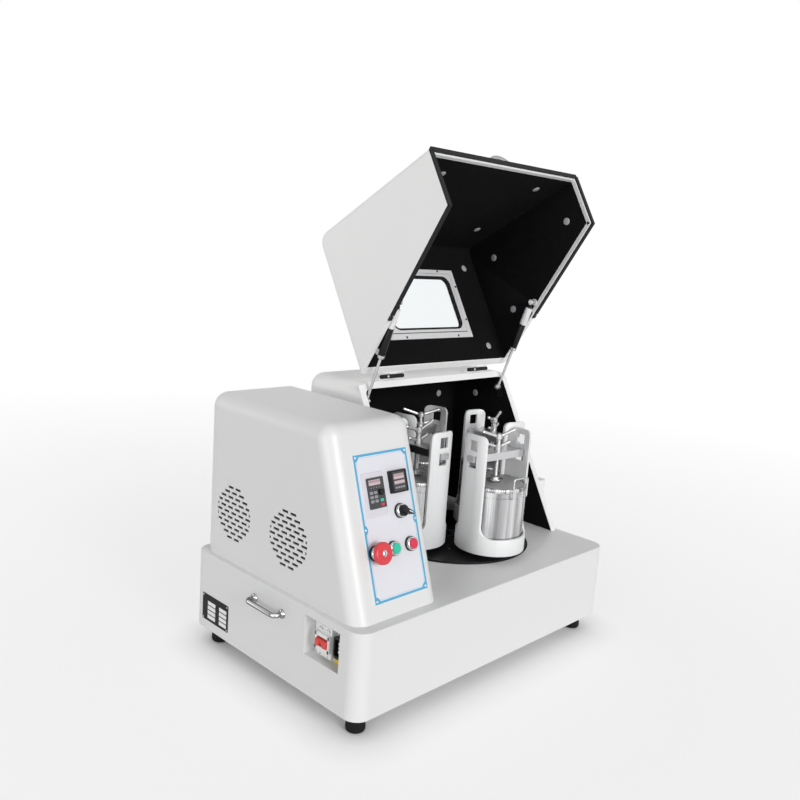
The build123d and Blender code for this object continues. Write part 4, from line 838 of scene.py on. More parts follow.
@once
def disc_black(colours):
    """Hard satin black with faint turned rings about the mill's axis."""
    coat = Finish("disc_black", colours.disc, 0.42, specular_ior_level=0.3)
    x, y, _ = coat.parts_of(coat.place())
    x = x - MILL_X * MM
    radius = (x * x + y * y) ** 0.5
    rings = radius.wave(5200.0)
    dust = coat.grain(60.0, 4.0)
    coat.feed("Base Color", coat.mix(dust, shade(colours.disc, 0.8), shade(colours.disc, 1.5)))
    coat.feed("Roughness", rings * 0.05 + dust * 0.12 + 0.34)
    return coat.bump(rings, 0.00003, 0.25)


@once
def foam(colours):
    """Open-cell acoustic foam with a fine skin."""
    lining = Finish("acoustic_foam", colours.foam, 0.95, specular_ior_level=0.08)
    cells = lining.node("ShaderNodeTexVoronoi", {"feature": "F1"}, {"Vector": lining.place(), "Scale": 420.0})
    broad = lining.grain(14.0, 3.0)
    tone = (cells * 0.7 + broad * 0.3).held()
    lining.feed("Base Color", lining.mix(tone, shade(colours.foam, 0.5), shade(colours.foam, 2.2)))
    return lining.bump(cells + broad, 0.0006, 0.6)


@once
def seal_rubber(colours):
    """Dark sealing strip with short diagonal hatching."""
    rubber = Finish("seal_rubber", (0.014, 0.014, 0.015), 0.62, specular_ior_level=0.15)
    x, y, z = rubber.parts_of(rubber.place())
    hatch = (x * 0.8 + y + z).wave(3400.0)
    rubber.feed("Base Color", rubber.mix(hatch, (0.008, 0.008, 0.009), (0.026, 0.026, 0.028)))
    return rubber.bump(hatch, 0.0002, 0.5)


@once
def panel_film(colours):
    """Printed film: flat tone with the faint tooth of the carrier sheet."""
    film = Finish("panel_film", colours.film, 0.38)
    tooth = film.grain(1800.0, 1.0)
    drift = film.grain(9.0, 2.0)
    film.feed("Base Color", film.mix(drift, shade(colours.film, 0.97), shade(colours.film, 1.02)))
    return film.bump(tooth, 0.00002, 0.25)


@once
def display_glass(colours):
    """Display window with faint rows of unlit segments."""
    pane = Finish("display_glass", (0.55, 0.40, 0.42), 0.12)
    _, across, _ = pane.parts_of(pane.place())
    rows = across.wave(2600.0)
    return pane.feed("Base Color", pane.mix(rows, (0.42, 0.30, 0.33), (0.66, 0.52, 0.55)))


@once
def jar_cap(colours):
    """Finely ground top of the jar lids."""
    metal = Finish("jar_cap", (0.30, 0.30, 0.31), 0.45, metallic=0.15)
    grit = metal.grain(600.0, 3.0)
    metal.feed("Base Color", metal.mix(grit, (0.34, 0.34, 0.345), (0.46, 0.46, 0.465)))
    return metal.bump(grit, 0.00004, 0.3)


@once
def clear_pane(colours):
    """Clear polycarbonate with a faint tint and slight surface haze."""
    pane = Finish("clear_pane", (0.93, 0.96, 0.97), 0.03, transmission_weight=1.0, ior=1.2)
    haze = pane.grain(18.0, 3.0)
    return pane.feed("Roughness", haze * 0.04 + 0.01)


# ---------------------------------------------------------------- operators
BREAKER_POLES = (-9.1, 9.1)  # middles of the two poles, left and right of the breaker's own
BREAKER_FACE = 12.6  # height of the poles' faces over the recess
PRINT_RISE = 0.1  # how far printed fields stand over a plate
FILM_RISE = 0.12  # how far print stands over the panel's film
BOSS_RISE = 0.2
MIDDLE_BOSS = 147.5  # height up the slope of the pair of bosses between the corners
KEY = rounded_box(7.4, 4.8, 1.2)


class MillOperator(bpy.types.Operator):
    """Shared base of the mill's operators."""

    bl_options = {"REGISTER", "UNDO"}

    @property
    def sizes(self):
        return bpy.context.scene.mill_sizes


class MILL_OT_covers(MillOperator):
    """Finish the cabinet, control box, hood and interlock box"""

    bl_idname = "mill.covers"
    bl_label = "Covers"

    def execute(self, context):
        for node in ("base_cabinet", "control_box", "control_back", "base_plate"):
            paint(node, enamel())
        for node in ("rear_housing", "lid_shell", "side_box"):
            paint(node, hood_enamel())
        self.interlock_cover()
        self.rear_screws()
        return {"FINISHED"}

    def interlock_cover(self):
        """Cover plate of the interlock box, with its four screws."""
        low, high = corners("side_box")
        middle_y, middle_z = (low.y + high.y) / 2, (low.z + high.z) / 2
        outwards = facing((1, 0, 0))
        outline = rounded_box(high.y - low.y - 8.0, high.z - low.z - 8.0, 3.0)
        plate = Form().prism(outline, 0.0, 0.5, at(high.x, middle_y, middle_z) @ outwards, bevel=0.3)
        plate.piece("side_box_cover", hood_enamel(), "base")
        spots = [(y, z) for y in (low.y + 18.0, high.y - 18.0) for z in (low.z + 10.0, high.z - 10.0)]
        screws("side_box_screws", [at(high.x - 0.9, y, z) @ outwards for y, z in spots], 2.6)

    def rear_screws(self):
        """Screws of the control box's rear cover and of the cabinet's back."""
        low, high = corners("control_back")
        heights = low.z + 20.0, low.z + 110.0, high.z - 50.0
        spots = [(x, high.y, z) for x in (low.x + 32.0, high.x - 32.0) for z in heights]
        wide = CABINET_HIGH.x - 60.0
        spots += [(x, CABINET_HIGH.y, CABINET_LOW.z + 14.0) for x in (-wide, -wide / 3, wide / 3, wide)]
        screws("rear_screws", [at(x, y - 0.9, z) @ facing((0, 1, 0)) for x, y, z in spots], 3.2)


class MILL_OT_feet(MillOperator):
    """Turn the four rubber feet with their washers and screws"""

    bl_idname = "mill.feet"
    bl_label = "Feet"

    def execute(self, context):
        low, high = corners("feet")
        radius = 17.0
        rubber, washers = Form(), Form()
        side = [(0.0, 6.0), (4.5, 6.0), (5.0, 0.0), (12.5, 0.0), (15.0, 0.8), (16.4, 2.6), (17.0, 6.0)]
        side += [(16.4, 14.0), (15.6, 24.0), (15.4, 31.0), (14.8, 33.0), (0.0, 33.0)]
        washer = [(0.0, 33.0), (16.6, 33.0), (17.0, 33.4), (17.0, 36.6), (16.6, 37.0), (0.0, 37.0)]
        for x in (low.x + radius, high.x - radius):
            for y in (low.y + radius, high.y - radius):
                spot = at(x, y, 0.0)
                rubber.turned(side, spot)
                washers.turned(washer, spot)
                washers.turned([(0.0, 2.2), (4.0, 2.2), (4.0, 6.0), (0.0, 6.0)], spot, steps=20)
        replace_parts(rubber.piece("feet_rubber", foot_rubber(), "base"), "feet")
        washers.piece("feet_washers", zinc(), "base")
        return {"FINISHED"}


class MILL_OT_carry_handles(MillOperator):
    """Bend the two chrome bow handles with their flanges"""

    bl_idname = "mill.carry_handles"
    bl_label = "Carrying handles"

    def execute(self, context):
        low, high = corners("side_handles")
        middle_z = (low.z + high.z) / 2
        flange, bar = 8.0, 4.5
        half = (high.y - low.y) / 2 - flange
        rim = [(0.0, 0.0), (flange, 0.0), (flange, 1.8), (7.4, 2.8), (5.6, 3.4), (4.6, 4.4), (0.0, 4.4)]
        bows = Form()
        for side, wall in ((-1, CABINET_LOW.x), (1, CABINET_HIGH.x)):
            reach = side * ((high.x if side > 0 else -low.x) - abs(wall) - bar)
            path = [(wall, -half), (wall + reach, -half), (wall + reach, half), (wall, half)]
            path = smooth_path([(x, y, middle_z) for x, y in path], 9.0, 10)
            bows.tube(path, bar, steps=20, round_ends=False)
            for y in (-half, half):
                bows.turned(rim, at(wall, y, middle_z) @ facing((side, 0, 0)), steps=36)
        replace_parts(bows.piece("carry_bows", bow_chrome(), "base"), "side_handles")
        return {"FINISHED"}


class MILL_OT_data_plate(MillOperator):
    """Fix the plain data plate with its blank fields to the left wall"""

    bl_idname = "mill.data_plate"
    bl_label = "Data plate"

    def execute(self, context):
        width, height, thick = 84.5, 52.0, 0.8
        place = on_left_wall(160.75, 81.0)
        plate = Form().prism(rounded_box(width, height, 2.0), 0.0, thick, place, bevel=0.2)
        plate.piece("data_plate", plate_black(), "base")
        fields = Form()
        for left, right in ((0.21, 0.51), (0.66, 0.94)):
            across = width * (0.5 - (left + right) / 2)
            field = rounded_box(width * (right - left), 7.2, 0.5)
            for row in range(4):
                up = height * (0.20 - 0.175 * row)
                fields.prism(field, thick - PRINT_RISE, thick + PRINT_RISE, place @ at(-across, up, 0.0))
        fields.piece("data_plate_fields", plate_white(), "base")
        x, y = width / 2 - 3.4, height / 2 - 3.4
        places = [place @ at(across, up, thick) for across in (-x, x) for up in (-y, y)]
        screws("data_plate_screws", places, 1.5, cross=False)
        return {"FINISHED"}


class MILL_OT_mains(MillOperator):
    """Build the breaker, the appliance inlet and its tag in the wall recess"""

    bl_idname = "mill.mains"
    bl_label = "Mains recess"

    def execute(self, context):
        toggle_low, toggle_high = corners("breaker_toggle")
        wall = corners("power_entry")[1].x
        y = (toggle_low.y + toggle_high.y) / 2
        z = joint_point("breaker_flip").z
        self.breaker(wall, y, z)
        seat = on_left_wall(CABINET_LOW.y + 90.5, 140.5, 0.0, wall)
        plate = Form().prism(rounded_box(84.0, 66.0, 1.0), 0.0, 0.5, seat)
        plate.piece("recess_plate", plate_white(), "base")
        self.inlet(on_left_wall(CABINET_LOW.y + 64.0, z, 0.0, wall))
        return {"FINISHED"}

    def breaker(self, wall, y, z):
        """Two-pole breaker: body with a guard round its opening, printed lines, screws and lever."""
        body = Form()
        for pole in BREAKER_POLES:
            low = on_left_wall(y + pole, z, 0.0, wall)
            body.prism(rounded_box(17.6, 54.0, 1.0), 0.0, BREAKER_FACE, low, bevel=0.5)
            for end in (-1, 1):
                boss = [(0.0, 12.4), (2.6, 12.4), (2.6, 13.0), (0.0, 13.0)]
                body.turned(boss, low @ at(0.0, end * 19.0, 0.0), steps=18)
        front = on_left_wall(y, z, 0.0, wall)
        guard_low, guard_high = 12.0, 18.8
        for up in (-11.7, 11.7):
            body.prism(rounded_box(35.8, 6.8, 0.8), guard_low, guard_high, front @ at(0.0, up, 0.0), bevel=0.6)
        for side in (-15.6, 15.6):
            cheek = front @ at(side, 0.0, 0.0)
            body.prism(rounded_box(4.4, 30.2, 0.6), guard_low, guard_high, cheek, bevel=0.5)
        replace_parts(body.piece("breaker_body", breaker_white(), "base"), "power_entry")
        prints = Form()
        for pole in BREAKER_POLES:
            for row, long in ((21.5, 11.0), (18.6, 8.0)):
                spot = on_left_wall(y + pole, z + row, BREAKER_FACE, wall)
                prints.prism(rounded_box(long, 0.9, 0.3), 0.0, FILM_RISE, spot)
        prints.piece("breaker_print", plate_black(), "base")
        spots = [(y + pole, z + end) for pole in BREAKER_POLES for end in (-23.5, 23.5)]
        screws("breaker_screws", [on_left_wall(*spot, 12.4, wall) for spot in spots], 2.4, cross=False)
        lever = Form()
        axle = on_left_wall(y, z + 1.0, 0.0, wall)
        lever.prism(rounded_box(27.0, 8.4, 1.4), 15.0, 20.6, axle, bevel=0.8)
        for side in (-8.6, 8.6):
            lever.prism(rounded_box(9.6, 12.0, 1.6), 15.0, 22.6, axle @ at(side, -2.4, 0.0), bevel=1.0)
        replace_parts(lever.piece("breaker_lever", toggle_red(), "breaker_toggle"), "breaker_toggle")

    def inlet(self, seat):
        """Appliance inlet with its three pins, lugs, screw and tag."""
        body = Form()
        body.frame_band(rounded_box(20.0, 38.0, 5.0), rounded_box(15.4, 29.0, 3.4), 0.0, 12.0, seat)
        body.prism(rounded_box(19.0, 37.0, 4.0), 0.0, 3.0, seat)
        for end in (-22.0, 22.0):
            body.prism(rounded_box(15.0, 14.0, 6.0), 0.0, 3.2, seat @ at(0.0, end, 0.0), bevel=0.5)
        body.piece("inlet_body", black_plastic(), "base")
        pins = Form()
        for offset, long in ((-7.0, 5.2), (0.0, 4.0), (7.0, 5.2)):
            pins.prism(rounded_box(2.0, long, 0.5), 3.0, 9.5, seat @ at(0.0, offset, 0.0), bevel=0.4)
        pins.piece("inlet_pins", chrome(), "base")
        screws("inlet_screw", [seat @ at(0.0, 23.0, 3.2)], 3.0)
        tag = Form().prism(rounded_box(14.0, 9.0, 1.2), 3.2, 3.8, seat @ at(-7.2, -28.0, 0.0), bevel=0.2)
        tag.piece("earth_tag", tag_yellow(), "base")


class MILL_OT_vents(MillOperator):
    """Put a dark disc behind each field of vent slots, as painted shade inside the slots"""

    bl_idname = "mill.vents"
    bl_label = "Vent filters"

    def execute(self, context):
        # Dark discs that paint the shade seen through the vent slots.
        shade_discs = Form()
        disc = [(0.0, 0.0), (54.0, 0.0), (54.0, 2.6), (0.0, 2.6)]
        for y in (131.0, -30.0):
            shade_discs.turned(disc, on_left_wall(y, 280.0, -5.2, CONTROL_LOW.x), steps=64)
        shade_discs.piece("vent_filters", filter_dark(), "base")
        return {"FINISHED"}


class MILL_OT_overlay(MillOperator):
    """Print the control panel's film: border, inner line, corner bosses and screws"""

    bl_idname = "mill.overlay"
    bl_label = "Panel film"

    def execute(self, context):
        flat_low, flat_high = extent(points_of("control_overlay", PANEL.inverted()))
        left, right = flat_low.x, flat_high.x + 3.0
        low, high = flat_low.y - 7.0, flat_high.y
        width, height = right - left, high - low
        centre = ((left + right) / 2, (low + high) / 2)
        place = on_panel(*centre, OVERLAY_THICKNESS)
        film = Form().prism(rounded_box(width, height, 2.0), -OVERLAY_THICKNESS, 0.0, place, bevel=0.2)
        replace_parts(film.piece("panel_film", panel_film(), "base"), "control_overlay")

        def band(form, outer_inset, outer_corner, inner_inset, inner_corner, rise):
            outer = rounded_box(width - outer_inset, height - outer_inset, outer_corner)
            inner = rounded_box(width - inner_inset, height - inner_inset, inner_corner)
            return form.frame_band(outer, inner, 0.0, rise, place)

        prints = band(Form(), 1.0, 1.8, 9.0, 1.0, FILM_RISE)
        band(Form(), 12.0, 1.0, 13.6, 0.6, 0.10).piece("panel_inner_line", border_line(), "base")
        heads = Form()
        for sx in (-1, 1):
            for sy in (-1, 1):
                boss = place @ at(sx * (width / 2 - 0.6), sy * (height / 2 - 0.6), 0.0)
                prints.prism(pie(12.5, sx, sy), 0.0, BOSS_RISE, boss)
                heads.screw_head(place @ at(sx * (width / 2 - 5.0), sy * (height / 2 - 5.0), BOSS_RISE), 2.2)
            edge = centre[0] + sx * (width / 2 - 0.6)
            for sy in (-1, 1):
                prints.prism(pie(8.5, sx, sy), 0.0, BOSS_RISE, on_panel(edge, MIDDLE_BOSS, OVERLAY_THICKNESS))
            across = centre[0] + sx * (width / 2 - 4.4)
            heads.screw_head(on_panel(across, MIDDLE_BOSS, OVERLAY_THICKNESS + BOSS_RISE), 2.1)
        prints.piece("panel_border", border_print(), "base")
        heads.piece("panel_screws", (zinc(), recess_shade()), "base")
        return {"FINISHED"}


def pie(radius, sx, sy):
    """Quarter disc in the corner of the film that the two signs name, anticlockwise."""
    arc = [(0.0, 0.0)]
    for step in range(13):
        angle = math.pi / 2 * step / 12
        arc.append((-sx * radius * math.cos(angle), -sy * radius * math.sin(angle)))
    return arc if sx * sy > 0 else arc[::-1]


class MILL_OT_keypad(MillOperator):
    """Build the speed drive's keypad and the speed meter"""

    bl_idname = "mill.keypad"
    bl_label = "Keypad and meter"

    def execute(self, context):
        base = OVERLAY_THICKNESS
        surround = Form().prism(rounded_box(49.0, 73.0, 2.0), 0.0, 2.0, on_panel(-18.5, 201.5, base), bevel=0.5)
        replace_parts(surround.piece("keypad_surround", keypad_grey(), "base"), "panel_instruments")

        def plate(name, finish, outline, low, high, spots, bevel, lift=0.0):
            """Piece of one or more like plates, each at a spot of the panel."""
            form = Form()
            for across, up in spots:
                form.prism(outline, low, high, on_panel(across, up, base + lift), bevel)
            form.piece(name, finish(), "base")

        face = 4.5
        plate("keypad_block", meter_dark, rounded_box(37.0, 51.0, 1.6), 2.0, face, [(-15.5, 203.5)], 0.6)
        plate("keypad_display", display_glass, rounded_box(26.0, 9.0, 0.6), face, 4.8, [(-18.0, 221.0)], 0.1)
        lamps = [(-27.0 + 6.0 * step, 212.6) for step in range(4)]
        plate("keypad_lamps", key_grey, rounded_box(2.2, 1.4, 0.5), 0.0, 0.3, lamps, 0.0, face)
        keys = [(-28.0 + 9.5 * column, 204.5 - 7.0 * row) for column in range(2) for row in range(3)]
        plate("keypad_keys", key_grey, KEY, 0.0, 0.8, keys, 0.3, face)
        plate("keypad_key_run", start_green, KEY, 0.0, 0.8, [(-6.5, 190.5)], 0.3, face)
        plate("keypad_key_halt", stop_red, KEY, 0.0, 0.8, [(-6.5, 183.6)], 0.3, face)

        place = on_panel(35.5, 215.5, base)
        case = Form().prism(rounded_box(36.0, 38.0, 2.0), 0.0, 7.6, place)
        case.frame_band(rounded_box(36.0, 38.0, 2.0), rounded_box(30.6, 32.6, 1.2), 7.6, 9.0, place)
        case.piece("meter_case", black_plastic(), "base")
        plate("meter_face", meter_dark, rounded_box(30.4, 32.4, 1.1), 7.6, 8.0, [(35.5, 215.5)], 0.0)
        windows = Form()
        for up, height in ((223.6, 9.0), (213.6, 6.0)):
            windows.prism(rounded_box(24.0, height, 0.6), 8.0, 8.3, on_panel(35.5, up, base), bevel=0.1)
        windows.piece("meter_windows", display_glass(), "base")
        keys = [(26.6 + 5.9 * step, 205.2) for step in range(4)]
        plate("meter_keys", key_grey, rounded_box(4.6, 3.4, 0.8), 8.0, 8.7, keys, 0.2)
        paint("speed_knob", black_plastic())
        return {"FINISHED"}


class MILL_OT_buttons(MillOperator):
    """Build the collars, caps, selector lever and emergency-stop head"""

    bl_idname = "mill.buttons"
    bl_label = "Buttons"

    def execute(self, context):
        rings, collars = Form(), Form()
        ring = [(9.2, 0.0), (12.6, 0.0), (12.6, 3.6), (12.0, 4.2), (9.2, 4.2)]
        lip = [(9.15, 4.2), (11.9, 4.2), (12.0, 4.6), (12.0, 7.4), (11.2, 8.6), (10.2, 9.0), (9.15, 8.8)]
        for node in ("selector_knob", "start_button", "stop_button", "estop_button"):
            place = on_panel(*button_centre(node), OVERLAY_THICKNESS)
            rings.turned(ring, place, closed=True)
            collars.turned(lip, place, steps=64, closed=True)
        rings.piece("button_rings", black_plastic(), "base")
        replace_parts(collars.piece("button_collars", chrome(), "base"), "switch_bezels")
        paint("start_button", start_green())
        paint("stop_button", stop_red())
        paint("estop_button", emergency_red())
        dome = [(5.2, -0.4), (5.2, 0.3), (4.6, 0.9), (3.0, 1.5), (1.2, 1.8), (0.0, 1.85)]
        centre = Form().turned(dome, on_button("estop_button"), steps=40)
        centre.piece("estop_centre", chrome(), "estop_button")
        paint("selector_knob", black_plastic())
        pointer = on_button("selector_knob", math.radians(-118.0)) @ at(0.0, 7.0, 0.0)
        mark = Form().prism(rounded_box(1.6, 10.0, 0.6), 0.0, 0.15, pointer)
        mark.piece("selector_mark", plate_white(), "selector_knob")
        return {"FINISHED"}


def button_centre(node):
    """Where a button's axis meets the panel plane: across and up, in millimetres."""
    flat = points_of(node, PANEL.inverted())
    deep = min(point.z for point in flat)
    low, high = extent([point for point in flat if point.z < deep + 0.5])
    spot = PANEL.inverted() @ (PANEL @ Vector(((low.x + high.x) / 2, (low.y + high.y) / 2, 0.0)))
    return spot.x, spot.y


def on_button(node, turn=0.0):
    """Place on top of a button, over its axis."""
    top = extent(points_of(node, PANEL.inverted()))[1].z
    return on_panel(*button_centre(node), top, turn)


class MILL_OT_lining(MillOperator):
    """Line both halves of the hood and fix the lining with its light discs"""

    bl_idname = "mill.lining"
    bl_label = "Hood lining"

    def execute(self, context):
        paint("housing_liner", foam())
        self.lid_foam()
        radius = self.sizes.liner_disc / MM
        disc = [(0.0, 0.0), (radius, 0.0), (radius, 0.5), (radius * 0.9, 1.0), (radius * 0.3, 1.2), (0.0, 1.2)]
        side = HOOD_HALF - RIM
        under = HOOD_TOP - RIM
        spots = [(side, y, z, (-1, 0, 0)) for y, z in ((-147.1, 240.1), (-164.5, 443.8), (-35.7, 439.4))]
        spots += [(x, SEAM_TOP_Y - back, under, (0, 0, -1)) for x, back in ((176.6, 235.1), (172.4, 44.4))]
        front_y = LID_FRONT_Y + RIM
        spots += [(x, front_y, HOOD_TOP - down, (0, 1, 0)) for x, down in ((147.2, 102.6), (144.5, 275.6))]
        lid_discs, discs = Form(), Form()
        for x, y, z, (out, front, up) in spots:
            for sign in (-1, 1):
                place = in_lid(MILL_X + sign * x, y, z) @ facing((sign * out, front, up))
                lid_discs.turned(disc, place, steps=32)
        for sign in (-1, 1):
            rear = at(MILL_X + sign * 170.0, HOUSING_HIGH.y - RIM, 442.7) @ facing((0, -1, 0))
            discs.turned(disc, rear, steps=32)
            wall = at(MILL_X + sign * side, 135.9, 454.0) @ facing((-sign, 0, 0))
            discs.turned(disc, wall, steps=32)
        lid_discs.piece("lid_lining_discs", disc_grey(), "lid")
        discs.piece("housing_lining_discs", disc_grey(), "base")
        return {"FINISHED"}

    def lid_foam(self):
        """The lid's lining without the window's gasket, which is modelled with the window."""
        mesh, shape = welded("lid_liner")
        islands = mesh_islands(shape)
        largest = max(islands, key=spread)
        others = [vert for island in islands if island is not largest for vert in island]
        bmesh.ops.delete(shape, geom=others, context="VERTS")
        shape.to_mesh(mesh)
        shape.free()
        mesh.transform(Matrix.Scale(1 / MM, 4))
        piece = as_object("lid_foam", mesh, foam(), frame["nodes"]["lid_liner"]["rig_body"])
        mesh.set_sharp_from_angle(angle=SHARP_ANGLE)
        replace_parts(piece, "lid_liner")


def mesh_islands(shape):
    """Groups of joined vertices."""
    left = set(shape.verts)
    islands = []
    while left:
        stack = [left.pop()]
        island = list(stack)
        while stack:
            near = {vert for edge in stack.pop().link_edges for vert in edge.verts} & left
            left -= near
            stack += near
            island += near
        islands.append(island)
    return islands


def spread(island):
    """Diagonal of a group of vertices."""
    low, high = extent([vert.co for vert in island])
    return (high - low).length


class MILL_OT_seal(MillOperator):
    """Lay the hatched sealing strip and the bright strip inside it"""

    bl_idname = "mill.seal"
    bl_label = "Lid seal"

    def execute(self, context):
        turn = SHUT_TO_OPEN.to_3x3()

        def lay(form, start, stop, sideways, outwards, width, thickness):
            """Strip in the lid, given where it lies with the lid shut."""
            ends = SHUT_TO_OPEN @ start, SHUT_TO_OPEN @ stop
            form.band(*ends, turn @ sideways, turn @ outwards, width, thickness)

        seal, strip, rim, ends, flange = Form(), Form(), Form(), Form(), Form()
        for start, stop, sideways, outwards in mouth_lines(4.2, SEAL_MITRE):
            lay(seal, start, stop, sideways, outwards, 8.4, LID_SEAL - 0.5)
        for start, stop, sideways, outwards in mouth_lines(RIM + 0.1, 0.0):
            middle = Vector((MILL_X, LID_FRONT_Y / 2, stop.z))
            inward = sideways if sideways.dot(middle - stop) > 0 else -sideways
            drop = outwards * -3.6
            lay(strip, start + drop, stop + drop, outwards, inward, 7.2, 0.5)
        across = Vector((1, 0, 0))
        foot = (HOOD_TOP - DECK_Z - 1.0) / math.sin(SEAM_ANGLE)
        for sign in (-1, 1):
            top = Vector((MILL_X + sign * (HOOD_HALF - RIM / 2), SEAM_TOP_Y, HOOD_TOP)) - OUT_OF_LID * LID_SEAL
            start = top - UP_SEAM * SEAL_STOP
            lay(rim, start, top - UP_SEAM * 8.0, across, OUT_OF_LID, RIM - 0.4, 0.3)
            corner = start + Vector((sign * 2.0, 0.0, 0.0))
            lay(ends, corner, corner + UP_SEAM * 9.0, across, OUT_OF_LID, 8.0, 3.4)
            top = Vector((MILL_X + sign * (HOOD_HALF - 7.2), SEAM_TOP_Y, HOOD_TOP))
            flange.band(top - UP_SEAM * foot, top - UP_SEAM * 4.0, across, -OUT_OF_LID, 13.6, 0.4)
        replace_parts(seal.piece("lid_sealing_strip", seal_rubber(), "lid"), "lid_seal")
        strip.piece("lid_bright_strip", frame_silver(), "lid")
        rim.piece("lid_rim_flange", hood_enamel(), "lid")
        ends.piece("seal_end_blocks", black_plastic(), "lid")
        flange.piece("housing_rim_flange", hood_enamel(), "base")
        return {"FINISHED"}


def mouth_lines(inset, meet):
    """Lines round the shut lid's mouth, inset from its outer edge: start, stop, sideways, outwards."""
    down = Vector((0.0, 0.0, -1.0))
    across, forward = Vector((1.0, 0.0, 0.0)), Vector((0.0, 1.0, 0.0))
    foot_z = DECK_Z + LID_SEAL
    run = math.cos(SEAM_ANGLE) / math.sin(SEAM_ANGLE)
    foot_y = SEAM_TOP_Y - (HOOD_TOP - foot_z) * run - LID_SEAL / math.sin(SEAM_ANGLE)
    slope_length = (HOOD_TOP - foot_z) / math.sin(SEAM_ANGLE)
    front_y, half = LID_FRONT_Y + inset, HOOD_HALF - inset
    lines = []
    for sign in (-1, 1):
        x = MILL_X + sign * half
        foot = Vector((x, foot_y, foot_z))
        lines.append((foot - UP_SEAM * meet, foot + UP_SEAM * (slope_length - SEAL_STOP), across, OUT_OF_LID))
        lines.append((Vector((x, front_y, foot_z)), foot + forward * meet, across, down))
    left, right = Vector((MILL_X - half, front_y, foot_z)), Vector((MILL_X + half, front_y, foot_z))
    return [*lines, (left, right, forward, down)]


class MILL_OT_window(MillOperator):
    """Mitre the window's frame, with its screws, gasket bead and clear pane"""

    bl_idname = "mill.window"
    bl_label = "Lid window"

    def execute(self, context):
        paint("window_pane", clear_pane())
        face_z = node_box_when_shut("window_frame")[0].z
        low, high = node_box_when_shut("window_pane")
        lip = 2.7
        hole = ((high.x - low.x) / 2 + lip, (high.y - low.y) / 2 + lip)
        face = in_lid(MILL_X, (low.y + high.y) / 2, face_z) @ Matrix.Rotation(math.pi, 4, "X")
        self.frame(face, hole)
        self.gasket(face, hole)
        spots = (78.5, 74.0), (122.8, 37.5), (122.6, -41.5), (80.0, -78.5)
        places = [face @ at(sign * x, up, 0.0) for x, up in spots for sign in (-1, 1)]
        screws("window_screws", places, self.sizes.window_screw / MM, "lid", dark_steel)
        return {"FINISHED"}

    def frame(self, face, hole):
        """Four mitred outer strips, and an inner strip with rounded corners a hair inside them."""
        form = Form()
        ox, oy = hole
        hx, low_y, high_y = ox + 19.0, -oy - 20.0, oy + 15.0
        ix, inner_low, inner_high = ox + 7.5, -oy - 7.5, oy + 6.5
        thick, gap = 2.0, 0.15
        sides = (
            [(-hx + gap, low_y), (hx - gap, low_y), (ix - gap, inner_low), (-ix + gap, inner_low)],
            [(hx - gap, high_y), (-hx + gap, high_y), (-ix + gap, inner_high), (ix - gap, inner_high)],
            [(-hx, high_y - gap), (-hx, low_y + gap), (-ix, inner_low + gap), (-ix, inner_high - gap)],
            [(hx, low_y + gap), (hx, high_y - gap), (ix, inner_high - gap), (ix, inner_low + gap)],
        )
        for outline in sides:
            form.prism(outline, -thick, 0.0, face, 0.4)
        outer = rounded_box(2 * ox + 13.4, 2 * oy + 11.4, 2.0, 8)
        inner = rounded_box(2 * ox, 2 * oy, WINDOW_CORNER, 8)
        form.frame_band(outer, inner, -thick, -0.6, face)
        rear_outer = rounded_box(2 * ox - 0.1, 2 * oy - 0.1, WINDOW_CORNER, 8)
        rear_inner = rounded_box(2 * ox - 1.2, 2 * oy - 1.2, WINDOW_CORNER - 0.6, 8)
        form.frame_band(rear_outer, rear_inner, -14.0, -9.4, face)
        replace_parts(form.piece("window_frame_strips", frame_silver(), "lid"), "window_frame")

    def gasket(self, face, hole):
        """Rubber channel round the pane with a rounded lip on each face."""

        def outline(inset, corner_inset):
            return rounded_box(2 * hole[0] - inset, 2 * hole[1] - inset, WINDOW_CORNER - corner_inset, 10)

        bead = Form()
        bead.frame_band(outline(0.2, 0.0), outline(8.4, 4.2), -4.1, -1.2, face)
        bead.frame_band(outline(0.2, 0.0), outline(8.4, 4.2), -9.4, -8.1, face)
        for height in (-1.6, -9.0):
            bead.loop([(x, y, height) for x, y in outline(7.6, 3.8)], 0.9, face)
        bead.piece("window_gasket", gasket_rubber(), "lid")


def node_box_when_shut(node):
    """Corners of a lid node in its shut position, in millimetres."""
    return extent(points_of(node, SHUT_TO_OPEN.inverted()))


class MILL_OT_lid_handle(MillOperator):
    """Break the edges of the arched lid handle"""

    bl_idname = "mill.lid_handle"
    bl_label = "Lid handle"

    def execute(self, context):
        softened("lid_handle", nickel(), 1.6, 3)
        return {"FINISHED"}


